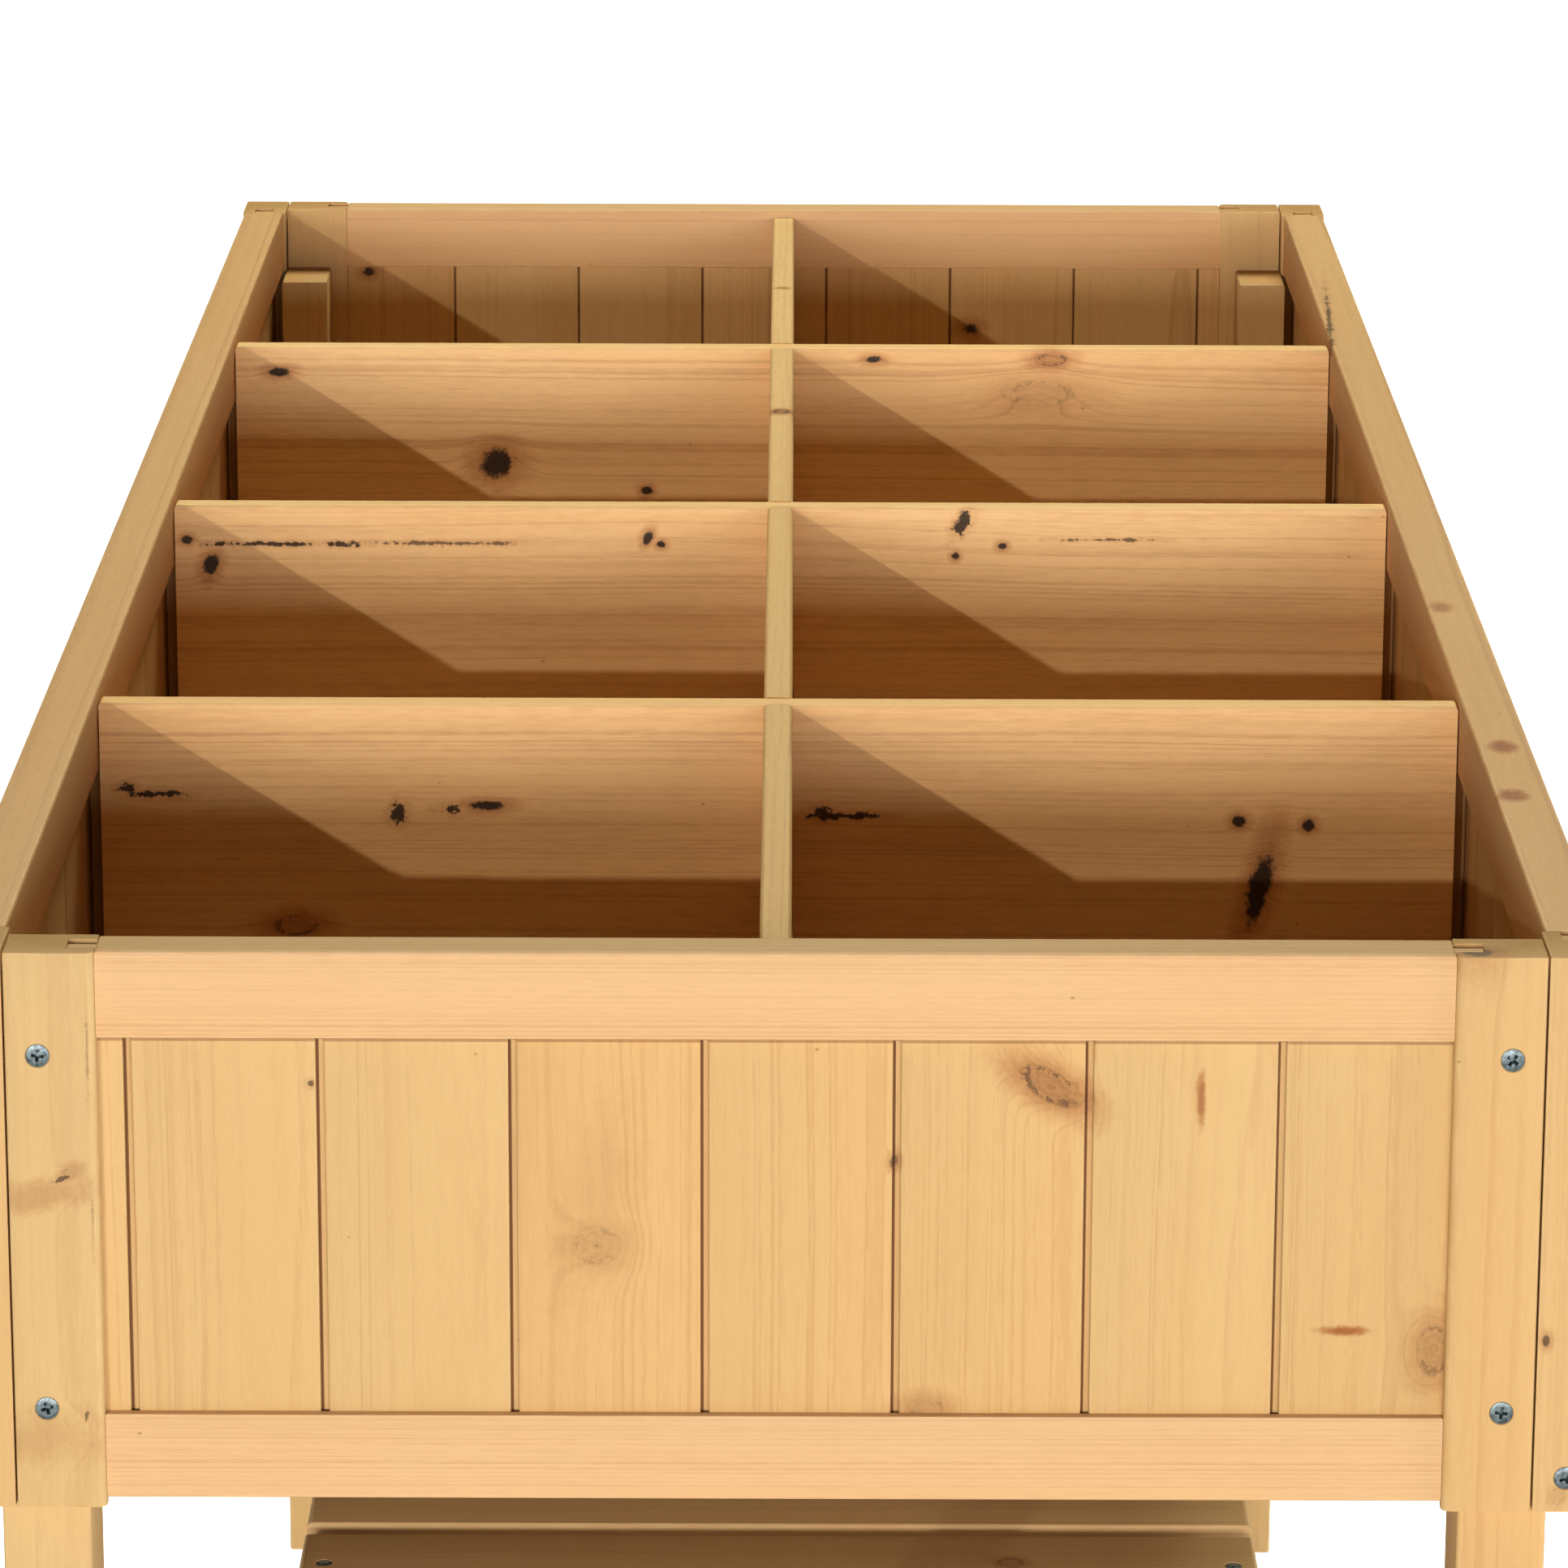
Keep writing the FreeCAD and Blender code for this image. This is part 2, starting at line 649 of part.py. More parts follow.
def floor_boards(label, screws):
    """Boards across the bottom of the box. The end ones are notched round the legs."""
    reach = INNER_X - size("floor_end_gap")
    boards = []
    last = count("floor_board_count") - 1
    for index in range(last + 1):
        blank = block(f"{label}_{index + 1}", (-reach, reach * 2),
                      (floor_board_low(index), size("floor_board_width")),
                      (FLOOR_BOTTOM, size("floor_thickness")))
        if index in (0, last):
            sign = -1 if index == 0 else 1
            near = LEG_INNER_Y - size("floor_end_gap")
            notches = [block(f"{label}_notch", between(side, LEG_INNER_X - size("floor_end_gap"), INNER_X),
                             between(sign, near, HALF_LENGTH), (FLOOR_BOTTOM, size("floor_thickness")))
                       for side in SIDES.values()]
            notched = doc.addObject("Part::Cut", f"{label}_notched")
            notched.Base = blank
            notched.Tool = doc.addObject("Part::Compound", f"{label}_notches")
            notched.Tool.Links = notches
            blank = notched
        boards.append(drill(f"{label}_{index + 1}", blank, [screws[side, index] for side in SIDES]))
    group = doc.addObject("Part::Compound", label)
    group.Links = boards
    group.Label = label
    nodes[label] = group


def shelf_rail(label, side_sign, screws):
    """A long rail between the legs of one side, under the slats."""
    blank = block(f"{label}_block", between(side_sign, SHELF_RAIL_INNER_X, LEG_INNER_X),
                  (-BOX_INSIDE_Y, BOX_INSIDE_Y * 2),
                  (SHELF_BOTTOM - size("shelf_rail_height"), size("shelf_rail_height")))
    nodes[label] = drill(label, blank, screws)


def shelf_slat(label, index, screws):
    """One slat of the shelf, with its long upper edges rounded."""
    low = slat_low(index)
    profile = [(0, 0), (size("slat_width"), 0), (size("slat_width"), size("slat_thickness")),
               (0, size("slat_thickness"))]
    body = new_body(f"{label}_body", x=-LEG_INNER_X, y=low, z=SHELF_BOTTOM)
    pad(body, outline(body, "YZ_Plane", profile), LEG_INNER_X * 2)
    across = size("slat_width").value
    soften(body, "Fillet", "Radius", size("slat_round"),
           lambda p: close(p.z, size("slat_thickness").value)
           and (close(p.y, 0) or close(p.y, across)))
    nodes[label] = drill(label, body, screws)


# ---------------------------------------------------------------- assembly

def build():
    """Make every piece, with the screws first because the wood is drilled by them."""
    corner = panel_screws()
    to_legs = {}
    for side, side_sign in SIDES.items():
        for end, end_sign in ENDS.items():
            to_legs[end, side] = shelf_rail_screws(side_sign, end_sign)
            leg(f"leg_{end}_{side}", side_sign, end_sign, corner[end, side][0] + to_legs[end, side])

    for end, panel in END_PANELS.items():
        rail_screws = {side: frame_screws(panel, sign) for side, sign in SIDES.items()}
        for side, sign in SIDES.items():
            into_leg, into_end = corner[end, side]
            panel.stile(f"{end}_stile_{side}", sign, rail_screws[side] + into_leg + into_end)
        panel.rail(f"{end}_top_rail", True, [pair[0] for pair in rail_screws.values()])
        panel.rail(f"{end}_bottom_rail", False, [pair[1] for pair in rail_screws.values()])
        panel.boards(f"{end}_boards", [])

    floor_fixings = floor_screws()
    shelf_fixings = shelf_screws()
    for side, panel in SIDE_PANELS.items():
        sign = SIDES[side]
        rail_screws = {end: frame_screws(panel, end_sign) for end, end_sign in ENDS.items()}
        for end, end_sign in ENDS.items():
            panel.stile(f"{side}_stile_{end}", end_sign, rail_screws[end] + corner[end, side][1])
        ledger_fixings = ledger_screws(sign)
        panel.rail(f"{side}_top_rail", True, [pair[0] for pair in rail_screws.values()])
        panel.rail(f"{side}_bottom_rail", False,
                   [pair[1] for pair in rail_screws.values()] + ledger_fixings)
        batten_fixings = []
        for index, name in enumerate(DIVIDERS):
            pair = batten_screws(sign, index)
            batten(f"{side}_batten_{name}", sign, index, pair)
            batten_fixings += pair
        panel.boards(f"{side}_boards", batten_fixings)
        ledger(f"{side}_floor_ledger", sign, ledger_fixings
               + [floor_fixings[side, index] for index in range(count("floor_board_count"))])
        shelf_rail(f"{side}_shelf_rail", sign,
                   [shelf_fixings[side, index] for index in range(count("slat_count"))]
                   + to_legs["front", side] + to_legs["back", side])

    floor_boards("floor_boards", floor_fixings)
    for index in range(count("slat_count")):
        shelf_slat(f"shelf_slat_{index + 1:02d}", index, [shelf_fixings[side, index] for side in SIDES])

    centre_divider("centre_divider")
    for index, name in enumerate(DIVIDERS):
        cross_divider(f"cross_divider_{name}", index)

    for group, screws in screw_groups.items():
        gathered = doc.addObject("Part::Compound", f"{group}_group")
        gathered.Links = screws
        gathered.Label = group
        nodes[group] = gathered


def check():
    """Stop if any object failed to compute or any piece is empty or invalid."""
    for item in doc.Objects:
        if "Invalid" in item.State or "Error" in item.State:
            raise RuntimeError(f"{item.Label} did not compute: {item.State}")
    for label, item in nodes.items():
        if item.Shape.isNull() or not item.Shape.isValid() or not item.Shape.Solids:
            raise RuntimeError(f"{label} has no valid solid")


build()
doc.recompute()
check()
os.makedirs("parts", exist_ok=True)
for label, item in nodes.items():
    item.Shape.exportStep(f"parts/{label}.step")
print(f"wrote {len(nodes)} sub-parts")
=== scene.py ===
"""Raised planter on legs: a framed and boarded box with lift-out dividers over a slatted shelf.

Lengths are in metres, +Z is up, the front end wall faces -Y and the left wall faces -X.
"""

import logging
import math
import random
from dataclasses import dataclass, field, replace
from enum import Enum
from typing import Callable, Sequence

import bmesh
import bpy
from mathutils import Matrix, Vector

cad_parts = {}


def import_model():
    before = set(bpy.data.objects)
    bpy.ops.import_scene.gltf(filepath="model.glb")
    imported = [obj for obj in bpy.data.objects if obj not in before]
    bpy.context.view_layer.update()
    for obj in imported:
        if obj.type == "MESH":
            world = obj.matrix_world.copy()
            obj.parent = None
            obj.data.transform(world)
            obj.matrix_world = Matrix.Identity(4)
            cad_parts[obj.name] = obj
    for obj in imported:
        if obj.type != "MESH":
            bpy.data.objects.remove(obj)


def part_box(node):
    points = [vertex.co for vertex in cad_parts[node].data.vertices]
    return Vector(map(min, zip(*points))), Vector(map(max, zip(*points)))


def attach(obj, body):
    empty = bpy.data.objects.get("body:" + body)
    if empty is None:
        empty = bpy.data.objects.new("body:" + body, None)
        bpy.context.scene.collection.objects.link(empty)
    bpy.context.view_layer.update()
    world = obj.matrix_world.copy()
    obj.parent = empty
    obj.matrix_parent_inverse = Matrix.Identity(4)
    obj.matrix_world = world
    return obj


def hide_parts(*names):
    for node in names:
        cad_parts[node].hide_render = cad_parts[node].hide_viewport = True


LOG = logging.getLogger("planter")
MM = 0.001
SLACK = 0.02 * MM
SMOOTH_ANGLE = math.radians(32)
SAME_WAY = 0.999
SQUARE_ON = 0.985
SAWN_END = 0.9
SAME_POINT = 1e-6
END_BAND = 0.05 * MM
FACE_MARGIN = 0.3 * MM
SINK_SIDES = 28
SINK_TIP = 1.5 * MM
SINK_FLARE = 0.3 * MM
SINK_ABOVE = 0.4 * MM

Colour = tuple[float, float, float, float]
Triple = tuple[float, float, float]
PointTest = Callable[[Vector], bool]


class Axis(Enum):
    """The three directions of the object's frame."""

    X = 0
    Y = 1
    Z = 2

    def vector(self, length: float) -> Triple:
        """A vector of a length along the axis."""
        return tuple(length if i == self.value else 0.0 for i in range(3))


class Slot(Enum):
    """The pieces' material slots."""

    FRAME = "frame_wood"
    PANEL = "panel_board"
    DIVIDER = "divider_board"
    SHELF = "shelf_slat"
    INNER = "inner_wood"
    SCREW = "zinc_screw"


class Flaw(Enum):
    """What a knot or mark looks like: how dark, how wide its halo, how ringed, how ragged."""

    SOUND = (0.10, 0.50, 0.50, 0.30)
    DEAD = (0.97, 0.60, 0.15, 0.38)
    CRACK = (0.95, 0.35, 0.0, 1.15)
    STAIN = (0.14, 0.85, 0.0, 0.7)
    SPECK = (0.75, 0.3, 0.0, 0.5)


def srgb(red: int, green: int, blue: int) -> Colour:
    """Turn a display colour of 0 to 255 into a linear one.

    Args:
        red: Display red.
        green: Display green.
        blue: Display blue.

    Returns:
        The colour in linear light with full alpha.
    """
    def linear(level: int) -> float:
        """One channel in linear light."""
        share = level / 255
        return share / 12.92 if share <= 0.04045 else ((share + 0.055) / 1.055) ** 2.4

    return linear(red), linear(green), linear(blue), 1.0


def at(value: float, *places: float) -> bool:
    """Whether a value lies at one of some places."""
    return min(abs(value - place) for place in places) < SLACK


# ---------------------------------------------------------------- shader trees

class Graph:
    """Adds nodes to a shader tree and links them, so that a finish reads as a formula."""

    def __init__(self, tree: bpy.types.NodeTree) -> None:
        """Work on the given tree."""
        self.tree = tree

    def add(self, kind: str, **settings: object) -> bpy.types.Node:
        """Add a node.

        Args:
            kind: The node's type, such as ShaderNodeMath.
            settings: Properties of the node to set.

        Returns:
            The new node.
        """
        node = self.tree.nodes.new(kind)
        for name, value in settings.items():
            setattr(node, name, value)
        return node

    def feed(self, socket: bpy.types.NodeSocket, value: object) -> None:
        """Link a socket into an input, or set the input's own value.

        Args:
            socket: The input.
            value: An output socket, or a plain value.
        """
        if isinstance(value, bpy.types.NodeSocket):
            self.tree.links.new(value, socket)
        elif value is not None:
            socket.default_value = value

    def math(self, operation: str, *values: object, clamp: bool = False) -> bpy.types.NodeSocket:
        """A number worked out from others.

        Args:
            operation: The Math node's operation.
            values: Its inputs in order.
            clamp: Whether the answer is kept between 0 and 1.

        Returns:
            The answer's socket.
        """
        node = self.add("ShaderNodeMath", operation=operation, use_clamp=clamp)
        for socket, value in zip(node.inputs, values):
            self.feed(socket, value)
        return node.outputs[0]

    def vector(self, operation: str, *values: object) -> bpy.types.Node:
        """A vector worked out from others.

        Args:
            operation: The Vector Math node's operation.
            values: Its inputs in order.

        Returns:
            The node, whose first output is a vector and second a number.
        """
        node = self.add("ShaderNodeVectorMath", operation=operation)
        for socket, value in zip(node.inputs, values):
            self.feed(socket, value)
        return node

    def ease(self, value: object, low: object, high: object, to_low: object = 0.0,
             to_high: object = 1.0) -> bpy.types.NodeSocket:
        """A smooth step of a value from low to high.

        Args:
            value: The value.
            low: Where the step starts.
            high: Where it ends.
            to_low: The answer at its start.
            to_high: The answer at its end.

        Returns:
            The answer's socket.
        """
        node = self.add("ShaderNodeMapRange", interpolation_type="SMOOTHSTEP")
        for name, part in zip(("Value", "From Min", "From Max", "To Min", "To Max"),
                              (value, low, high, to_low, to_high)):
            self.feed(node.inputs[name], part)
        return node.outputs[0]

    def noise(self, vector: object, scale: float, detail: float = 2.0,
              rough: float = 0.5) -> bpy.types.NodeSocket:
        """Soft noise at a place.

        Args:
            vector: The place.
            scale: How many waves it has in a metre.
            detail: How many finer layers it has.
            rough: How strong they are.

        Returns:
            The socket of a number between 0 and 1.
        """
        node = self.add("ShaderNodeTexNoise")
        for name, value in (("Vector", vector), ("Scale", scale), ("Detail", detail),
                            ("Roughness", rough)):
            self.feed(node.inputs[name], value)
        return node.outputs[0]

    def stretch(self, vector: object, scale: Triple) -> bpy.types.NodeSocket:
        """A place scaled along each axis, which draws a pattern out along the grain."""
        return self.vector("MULTIPLY", vector, scale).outputs[0]

    def mix(self, blend: str, share: object, first: object, second: object) -> bpy.types.NodeSocket:
        """Two colours mixed.

        Args:
            blend: The Mix node's way of mixing.
            share: How much of the second colour.
            first: The first colour.
            second: The second colour.

        Returns:
            The colour's socket.
        """
        node = self.add("ShaderNodeMix", data_type="RGBA", blend_type=blend)
        for index, value in ((0, share), (6, first), (7, second)):
            self.feed(node.inputs[index], value)
        return node.outputs[2]

    def group(self, tree: bpy.types.NodeTree, **inputs: object) -> bpy.types.Node:
        """Add a node group.

        Args:
            tree: The group.
            inputs: What goes into each of its named inputs.

        Returns:
            The group's node.
        """
        node = self.add("ShaderNodeGroup", node_tree=tree)
        for name, value in inputs.items():
            self.feed(node.inputs[name], value)
        return node

    def bump(self, shader: bpy.types.Node, height: bpy.types.NodeSocket, strength: float,
             distance: float) -> None:
        """Roughen a shader's surface.

        Args:
            shader: The shader.
            height: The height's socket.
            strength: How much of it shows.
            distance: How far it stands out at most.
        """
        node = self.add("ShaderNodeBump")
        for name, value in (("Strength", strength), ("Distance", distance), ("Height", height)):
            self.feed(node.inputs[name], value)
        self.feed(shader.inputs["Normal"], node.outputs[0])


def paint(name: str) -> tuple[bpy.types.Material, Graph, bpy.types.Node]:
    """Make a new material.

    Args:
        name: The material's name.

    Returns:
        The material, the graph of its tree and its shader.
    """
    material = bpy.data.materials.new(name)
    material.use_nodes = True
    tree = material.node_tree
    return material, Graph(tree), next(node for node in tree.nodes if node.type == "BSDF_PRINCIPLED")


class Group:
    """A shader node group with named inputs and outputs."""

    def __init__(self, name: str, inputs: dict[str, str], outputs: Sequence[str]) -> None:
        """Make the empty group.

        Args:
            name: The group's name.
            inputs: Each input's name and socket type.
            outputs: The outputs' names, all of them numbers.
        """
        self.tree = bpy.data.node_groups.new(name, "ShaderNodeTree")
        for label, kind in inputs.items():
            self.tree.interface.new_socket(name=label, in_out="INPUT", socket_type=f"NodeSocket{kind}")
        for label in outputs:
            self.tree.interface.new_socket(name=label, in_out="OUTPUT", socket_type="NodeSocketFloat")
        self.graph = Graph(self.tree)
        self.given = self.graph.add("NodeGroupInput").outputs
        self.result = self.graph.add("NodeGroupOutput").inputs

    def give(self, name: str, value: object) -> None:
        """Send a value out of the group."""
        self.graph.feed(self.result[name], value)


def wood_grain() -> bpy.types.NodeTree:
    """Growth rings, fibres and blotches of a board, from its own place in the log.

    Returns:
        The node group.
    """
    group = Group("WoodGrain",
                  {"Vector": "Vector", "Seed": "Vector", "Pith": "Vector", "Spacing": "Float",
                   "Wave": "Float", "Swell": "Float"},
                  ("Rings", "Fibre", "Blotch", "Tone"))
    g, given = group.graph, group.given
    seed = g.add("ShaderNodeSeparateXYZ")
    g.feed(seed.inputs[0], given["Seed"])
    shifted = g.vector("MULTIPLY_ADD", given["Seed"], (7.3, 3.7, 5.1), given["Vector"]).outputs[0]
    sway = g.noise(g.stretch(shifted, (1.6, 9.0, 9.0)), 1.0, 2.0)
    ripple = g.noise(g.stretch(shifted, (9.0, 60.0, 60.0)), 1.0, 1.0)
    warp = g.math("MULTIPLY", g.math("SUBTRACT", sway, 0.5), given["Wave"])
    warp = g.math("ADD", warp, g.math("MULTIPLY", g.math("SUBTRACT", ripple, 0.5),
                                      g.math("MULTIPLY", given["Wave"], 0.09)))
    pith = g.add("ShaderNodeCombineXYZ")
    g.feed(pith.inputs[1], g.math("MULTIPLY", g.math("SUBTRACT", seed.outputs[1], 0.5), 0.05))
    section = g.stretch(given["Vector"], (0.0, 1.0, 1.0))
    offset = g.vector("SUBTRACT", g.vector("SUBTRACT", section, given["Pith"]).outputs[0],
                      pith.outputs[0]).outputs[0]
    radius = g.math("ADD", g.math("ADD", g.vector("LENGTH", offset).outputs[1], warp), given["Swell"])
    uneven = g.add("ShaderNodeTexNoise", noise_dimensions="1D")
    g.feed(uneven.inputs["W"],
           g.math("MULTIPLY_ADD", radius, 70.0, g.math("MULTIPLY", seed.outputs[0], 40.0)))
    phase = g.math("ADD", g.math("DIVIDE", radius, given["Spacing"]),
                   g.math("MULTIPLY", uneven.outputs[0], 2.4))
    ramp = g.add("ShaderNodeValToRGB")
    g.feed(ramp.inputs[0], g.math("FRACT", phase))
    stops = ramp.color_ramp.elements
    stops[0].position, stops[0].color = 0.0, (0.25, 0.25, 0.25, 1.0)
    stops[1].position, stops[1].color = 1.0, (0.25, 0.25, 0.25, 1.0)
    for place, level in ((0.12, 0.02), (0.55, 0.16), (0.8, 0.62), (0.92, 1.0)):
        stops.new(place).color = (level, level, level, 1.0)
    ring_strength = g.add("ShaderNodeTexWhiteNoise", noise_dimensions="1D")
    g.feed(ring_strength.inputs["W"], g.math("ADD", g.math("FLOOR", phase), seed.outputs[2]))
    strength = g.math("MULTIPLY_ADD", ring_strength.outputs[0], 0.85, 0.2)
    group.give("Rings", g.math("MULTIPLY", ramp.outputs[0], strength))
    fine = g.noise(g.stretch(shifted, (110.0, 1000.0, 1000.0)), 1.0, 2.0, 0.65)
    coarse = g.noise(g.stretch(shifted, (9.0, 260.0, 260.0)), 1.0, 2.0, 0.6)
    group.give("Fibre", g.math("ADD", g.math("MULTIPLY", fine, 0.55), g.math("MULTIPLY", coarse, 0.45)))
    group.give("Blotch", g.noise(g.stretch(shifted, (4.0, 22.0, 22.0)), 1.0, 3.0, 0.55))
    group.give("Tone", seed.outputs[1])
    return group.tree


def knot_pattern() -> bpy.types.NodeTree:
    """One knot, crack or stain at a set place, and how far it pushes the grain aside.

    Returns:
        The node group.
    """
    group = Group("Knot",
                  {"Vector": "Vector", "Centre": "Vector", "Turn": "Vector", "Size": "Vector",
                   "Shake": "Float", "Darkness": "Float", "Halo": "Float", "Ringed": "Float",
                   "Ragged": "Float"},
                  ("Dark", "Halo", "Swell"))
    g, given = group.graph, group.given
    place = g.add("ShaderNodeMapping", vector_type="TEXTURE")
    for name, source in (("Vector", "Vector"), ("Location", "Centre"), ("Rotation", "Turn"),
                         ("Scale", "Size")):
        g.feed(place.inputs[name], given[source])
    shake = g.math("MULTIPLY", given["Shake"], given["Ragged"])
    distance = g.math("ADD", g.vector("LENGTH", place.outputs[0]).outputs[1],
                      g.math("MULTIPLY", shake, 2.4))
    core = g.ease(distance, 1.1, 0.6)
    rim = g.math("MULTIPLY", g.ease(distance, 0.55, 0.9), g.ease(distance, 1.2, 0.95))
    rim = g.math("MULTIPLY", rim, g.ease(given["Shake"], -0.08, 0.1))
    wheel = g.math("MULTIPLY_ADD", g.math("SINE", g.math("MULTIPLY", distance, 15.0)), 0.5, 0.5)
    rings = g.math("MULTIPLY", wheel, g.ease(distance, 1.7, 0.5))
    marked = g.math("MAXIMUM", g.math("MULTIPLY", rings, 0.45), rim)
    ringed = g.math("MULTIPLY", marked, given["Ringed"])
    group.give("Dark", g.math("MAXIMUM", g.math("MULTIPLY", core, given["Darkness"]), ringed, clamp=True))
    group.give("Halo", g.math("MULTIPLY", g.ease(distance, 2.6, 0.8), given["Halo"]))
    calm = g.math("MULTIPLY", g.vector("LENGTH", place.outputs[0]).outputs[1], 0.62)
    group.give("Swell", g.math("EXPONENT", g.math("MULTIPLY", g.math("MULTIPLY", calm, calm), -1.0)))
    return group.tree


def knot_shake() -> bpy.types.NodeTree:
    """The unevenness that every knot's outline follows.

    Returns:
        The node group.
    """
    group = Group("KnotShake", {"Vector": "Vector"}, ("Shake",))
    g = group.graph
    fine = g.noise(group.given["Vector"], 520.0, 2.0, 0.65)
    broad = g.noise(group.given["Vector"], 110.0, 1.0, 0.6)
    group.give("Shake", g.math("SUBTRACT", g.math("ADD", fine, broad), 1.0))
    return group.tree


def edge_wear() -> bpy.types.NodeTree:
    """Where a piece's arrises take a painted highlight in patches, where its sawn ends show, where painted
    shade sits in corners and recesses, and where dirt specks sit.

    Returns:
        The node group.
    """
    group = Group("EdgeWear", {"Vector": "Vector", "Marks": "Vector"},
                  ("Arris", "End", "Recess", "Speck"))
    g, given = group.graph, group.given
    marks = g.add("ShaderNodeSeparateXYZ")
    g.feed(marks.inputs[0], given["Marks"])
    # Noise breaks the painted highlight on the rounded arrises into patches.
    highlight_patches = g.ease(g.noise(given["Vector"], 55.0, 3.0, 0.6), 0.35, 0.65)
    group.give("Arris", g.math("MULTIPLY", marks.outputs[0], highlight_patches))
    group.give("End", marks.outputs[1])
    # The third mark carries painted shade for joint corners and recesses.
    group.give("Recess", marks.outputs[2])
    cells = g.add("ShaderNodeTexVoronoi")
    g.feed(cells.inputs["Vector"], g.stretch(given["Vector"], (1.0, 1.0, 1.6)))
    cells.inputs["Scale"].default_value = 85.0
    chosen = g.add("ShaderNodeSeparateColor")
    g.feed(chosen.inputs[0], cells.outputs["Color"])
    rare = g.math("GREATER_THAN", chosen.outputs[0], 0.9)
    group.give("Speck", g.math("MULTIPLY", g.ease(cells.outputs["Distance"], 0.07, 0.03), rare))
    return group.tree


class Effects:
    """The node groups that several finishes share, each made once."""

    def __init__(self) -> None:
        """Build the groups."""
        self.grain = wood_grain()
        self.knot = knot_pattern()
        self.shake = knot_shake()
        self.wear = edge_wear()


BLOTCH_TINT = (0.93, 0.82, 0.68, 1.0)
TONE_TINT = (1.02, 0.93, 0.86, 1.0)
FIBRE_LIGHT = (0.45, 0.33, 0.18, 1.0)
END_TINT = (0.82, 0.70, 0.56, 1.0)
# Painted shade, multiplied into joint corners and recesses where shade falls.
PAINTED_SHADE_TINT = (0.34, 0.22, 0.15, 1.0)
# Painted highlight, screened onto rounded arrises where they catch the light.
PAINTED_ARRIS_HIGHLIGHT = (0.30, 0.22, 0.12, 1.0)
HALO_TINT = (0.60, 0.34, 0.20, 1.0)
KNOT_CORE = (0.022, 0.009, 0.005, 1.0)
SPECK_TINT = (0.35, 0.2, 0.12, 1.0)


@dataclass(frozen=True)
class Knot:
    """A knot or mark: its middle in millimetres, its half sizes in millimetres and its turn."""

    centre: Triple
    size: Triple
    flaw: Flaw = Flaw.DEAD
    turn: Triple = (0.0, 0.0, 0.0)
    swell: float = 1.0
    strength: float = 1.0


@dataclass(frozen=True)
class WoodFinish:
    """A softwood finish: its colours, its growth rings and its knots."""

    name: str
    early: Colour
    late: Colour
    spacing: float = 2.2 * MM
    pith: Triple = (0.0, 0.12, 0.06)
    wave: float = 6 * MM
    contrast: float = 0.5
    fibre: float = 0.35
    blotch: float = 0.3
    roughness: float = 0.58
    knots: tuple[Knot, ...] = ()

    def build(self, effects: Effects) -> bpy.types.Material:
        """Make the material.

        Args:
            effects: The shared node groups.

        Returns:
            The material.
        """
        material, g, shader = paint(self.name)
        places = g.add("ShaderNodeTexCoord").outputs["Object"]
        marks = [g.add("ShaderNodeAttribute", attribute_name=name).outputs["Vector"]
                 for name in ("grain", "seed", "marks")]
        dark, halo, swell = 0.0, 0.0, 0.0
        shake = g.group(effects.shake, Vector=places).outputs["Shake"]
        for knot in self.knots:
            darkness, tint, ringed, ragged = knot.flaw.value
            node = g.group(effects.knot, Vector=places, Shake=shake,
                           Centre=tuple(v * MM for v in knot.centre),
                           Size=tuple(v * MM for v in knot.size),
                           Turn=tuple(math.radians(v) for v in knot.turn),
                           Darkness=darkness * knot.strength, Halo=tint * knot.strength,
                           Ringed=ringed * knot.strength, Ragged=ragged)
            dark = g.math("MAXIMUM", node.outputs["Dark"], dark)
            halo = g.math("MAXIMUM", node.outputs["Halo"], halo)
            push = min(knot.size) * MM * knot.swell
            swell = g.math("MULTIPLY_ADD", node.outputs["Swell"], push, swell)
        grain = g.group(effects.grain, Vector=marks[0], Seed=marks[1], Pith=self.pith,
                        Spacing=self.spacing, Wave=self.wave, Swell=swell)
        wear = g.group(effects.wear, Vector=places, Marks=marks[2])
        rings, fibre, blotch = (grain.outputs[name] for name in ("Rings", "Fibre", "Blotch"))
        share = g.math("MULTIPLY_ADD", g.math("SUBTRACT", fibre, 0.5), self.fibre * 2,
                       g.math("MULTIPLY", rings, self.contrast), clamp=True)
        colour = g.mix("MIX", share, self.early, self.late)
        pale = g.ease(blotch, 0.35, 0.72)
        colour = g.mix("MULTIPLY", g.math("MULTIPLY", pale, self.blotch), colour, BLOTCH_TINT)
        colour = g.mix("MULTIPLY", grain.outputs["Tone"], colour, TONE_TINT)
        light_fibre = g.ease(fibre, 0.5, 0.8)
        colour = g.mix("SCREEN", g.math("MULTIPLY", light_fibre, self.fibre * 0.35), colour,
                       FIBRE_LIGHT)
        colour = g.mix("MULTIPLY", wear.outputs["End"], colour, END_TINT)
        # Painted shade in joint corners and recesses.
        colour = g.mix("MULTIPLY", wear.outputs["Recess"], colour, PAINTED_SHADE_TINT)
        # A painted highlight on the rounded arrises.
        colour = g.mix("SCREEN", g.math("MULTIPLY", wear.outputs["Arris"], 0.35), colour,
                       PAINTED_ARRIS_HIGHLIGHT)
        if self.knots:
            colour = g.mix("MULTIPLY", halo, colour, HALO_TINT)
            colour = g.mix("MIX", dark, colour, KNOT_CORE)
        colour = g.mix("MULTIPLY", g.math("MULTIPLY", wear.outputs["Speck"], 0.55), colour,
                       SPECK_TINT)
        g.feed(shader.inputs["Base Color"], colour)
        g.feed(shader.inputs["Roughness"],
               g.math("MULTIPLY_ADD", g.math("SUBTRACT", fibre, rings), 0.14, self.roughness, clamp=True))
        shader.inputs["Specular IOR Level"].default_value = 0.28
        g.bump(shader, fibre, 0.5, 0.12 * MM)
        return material


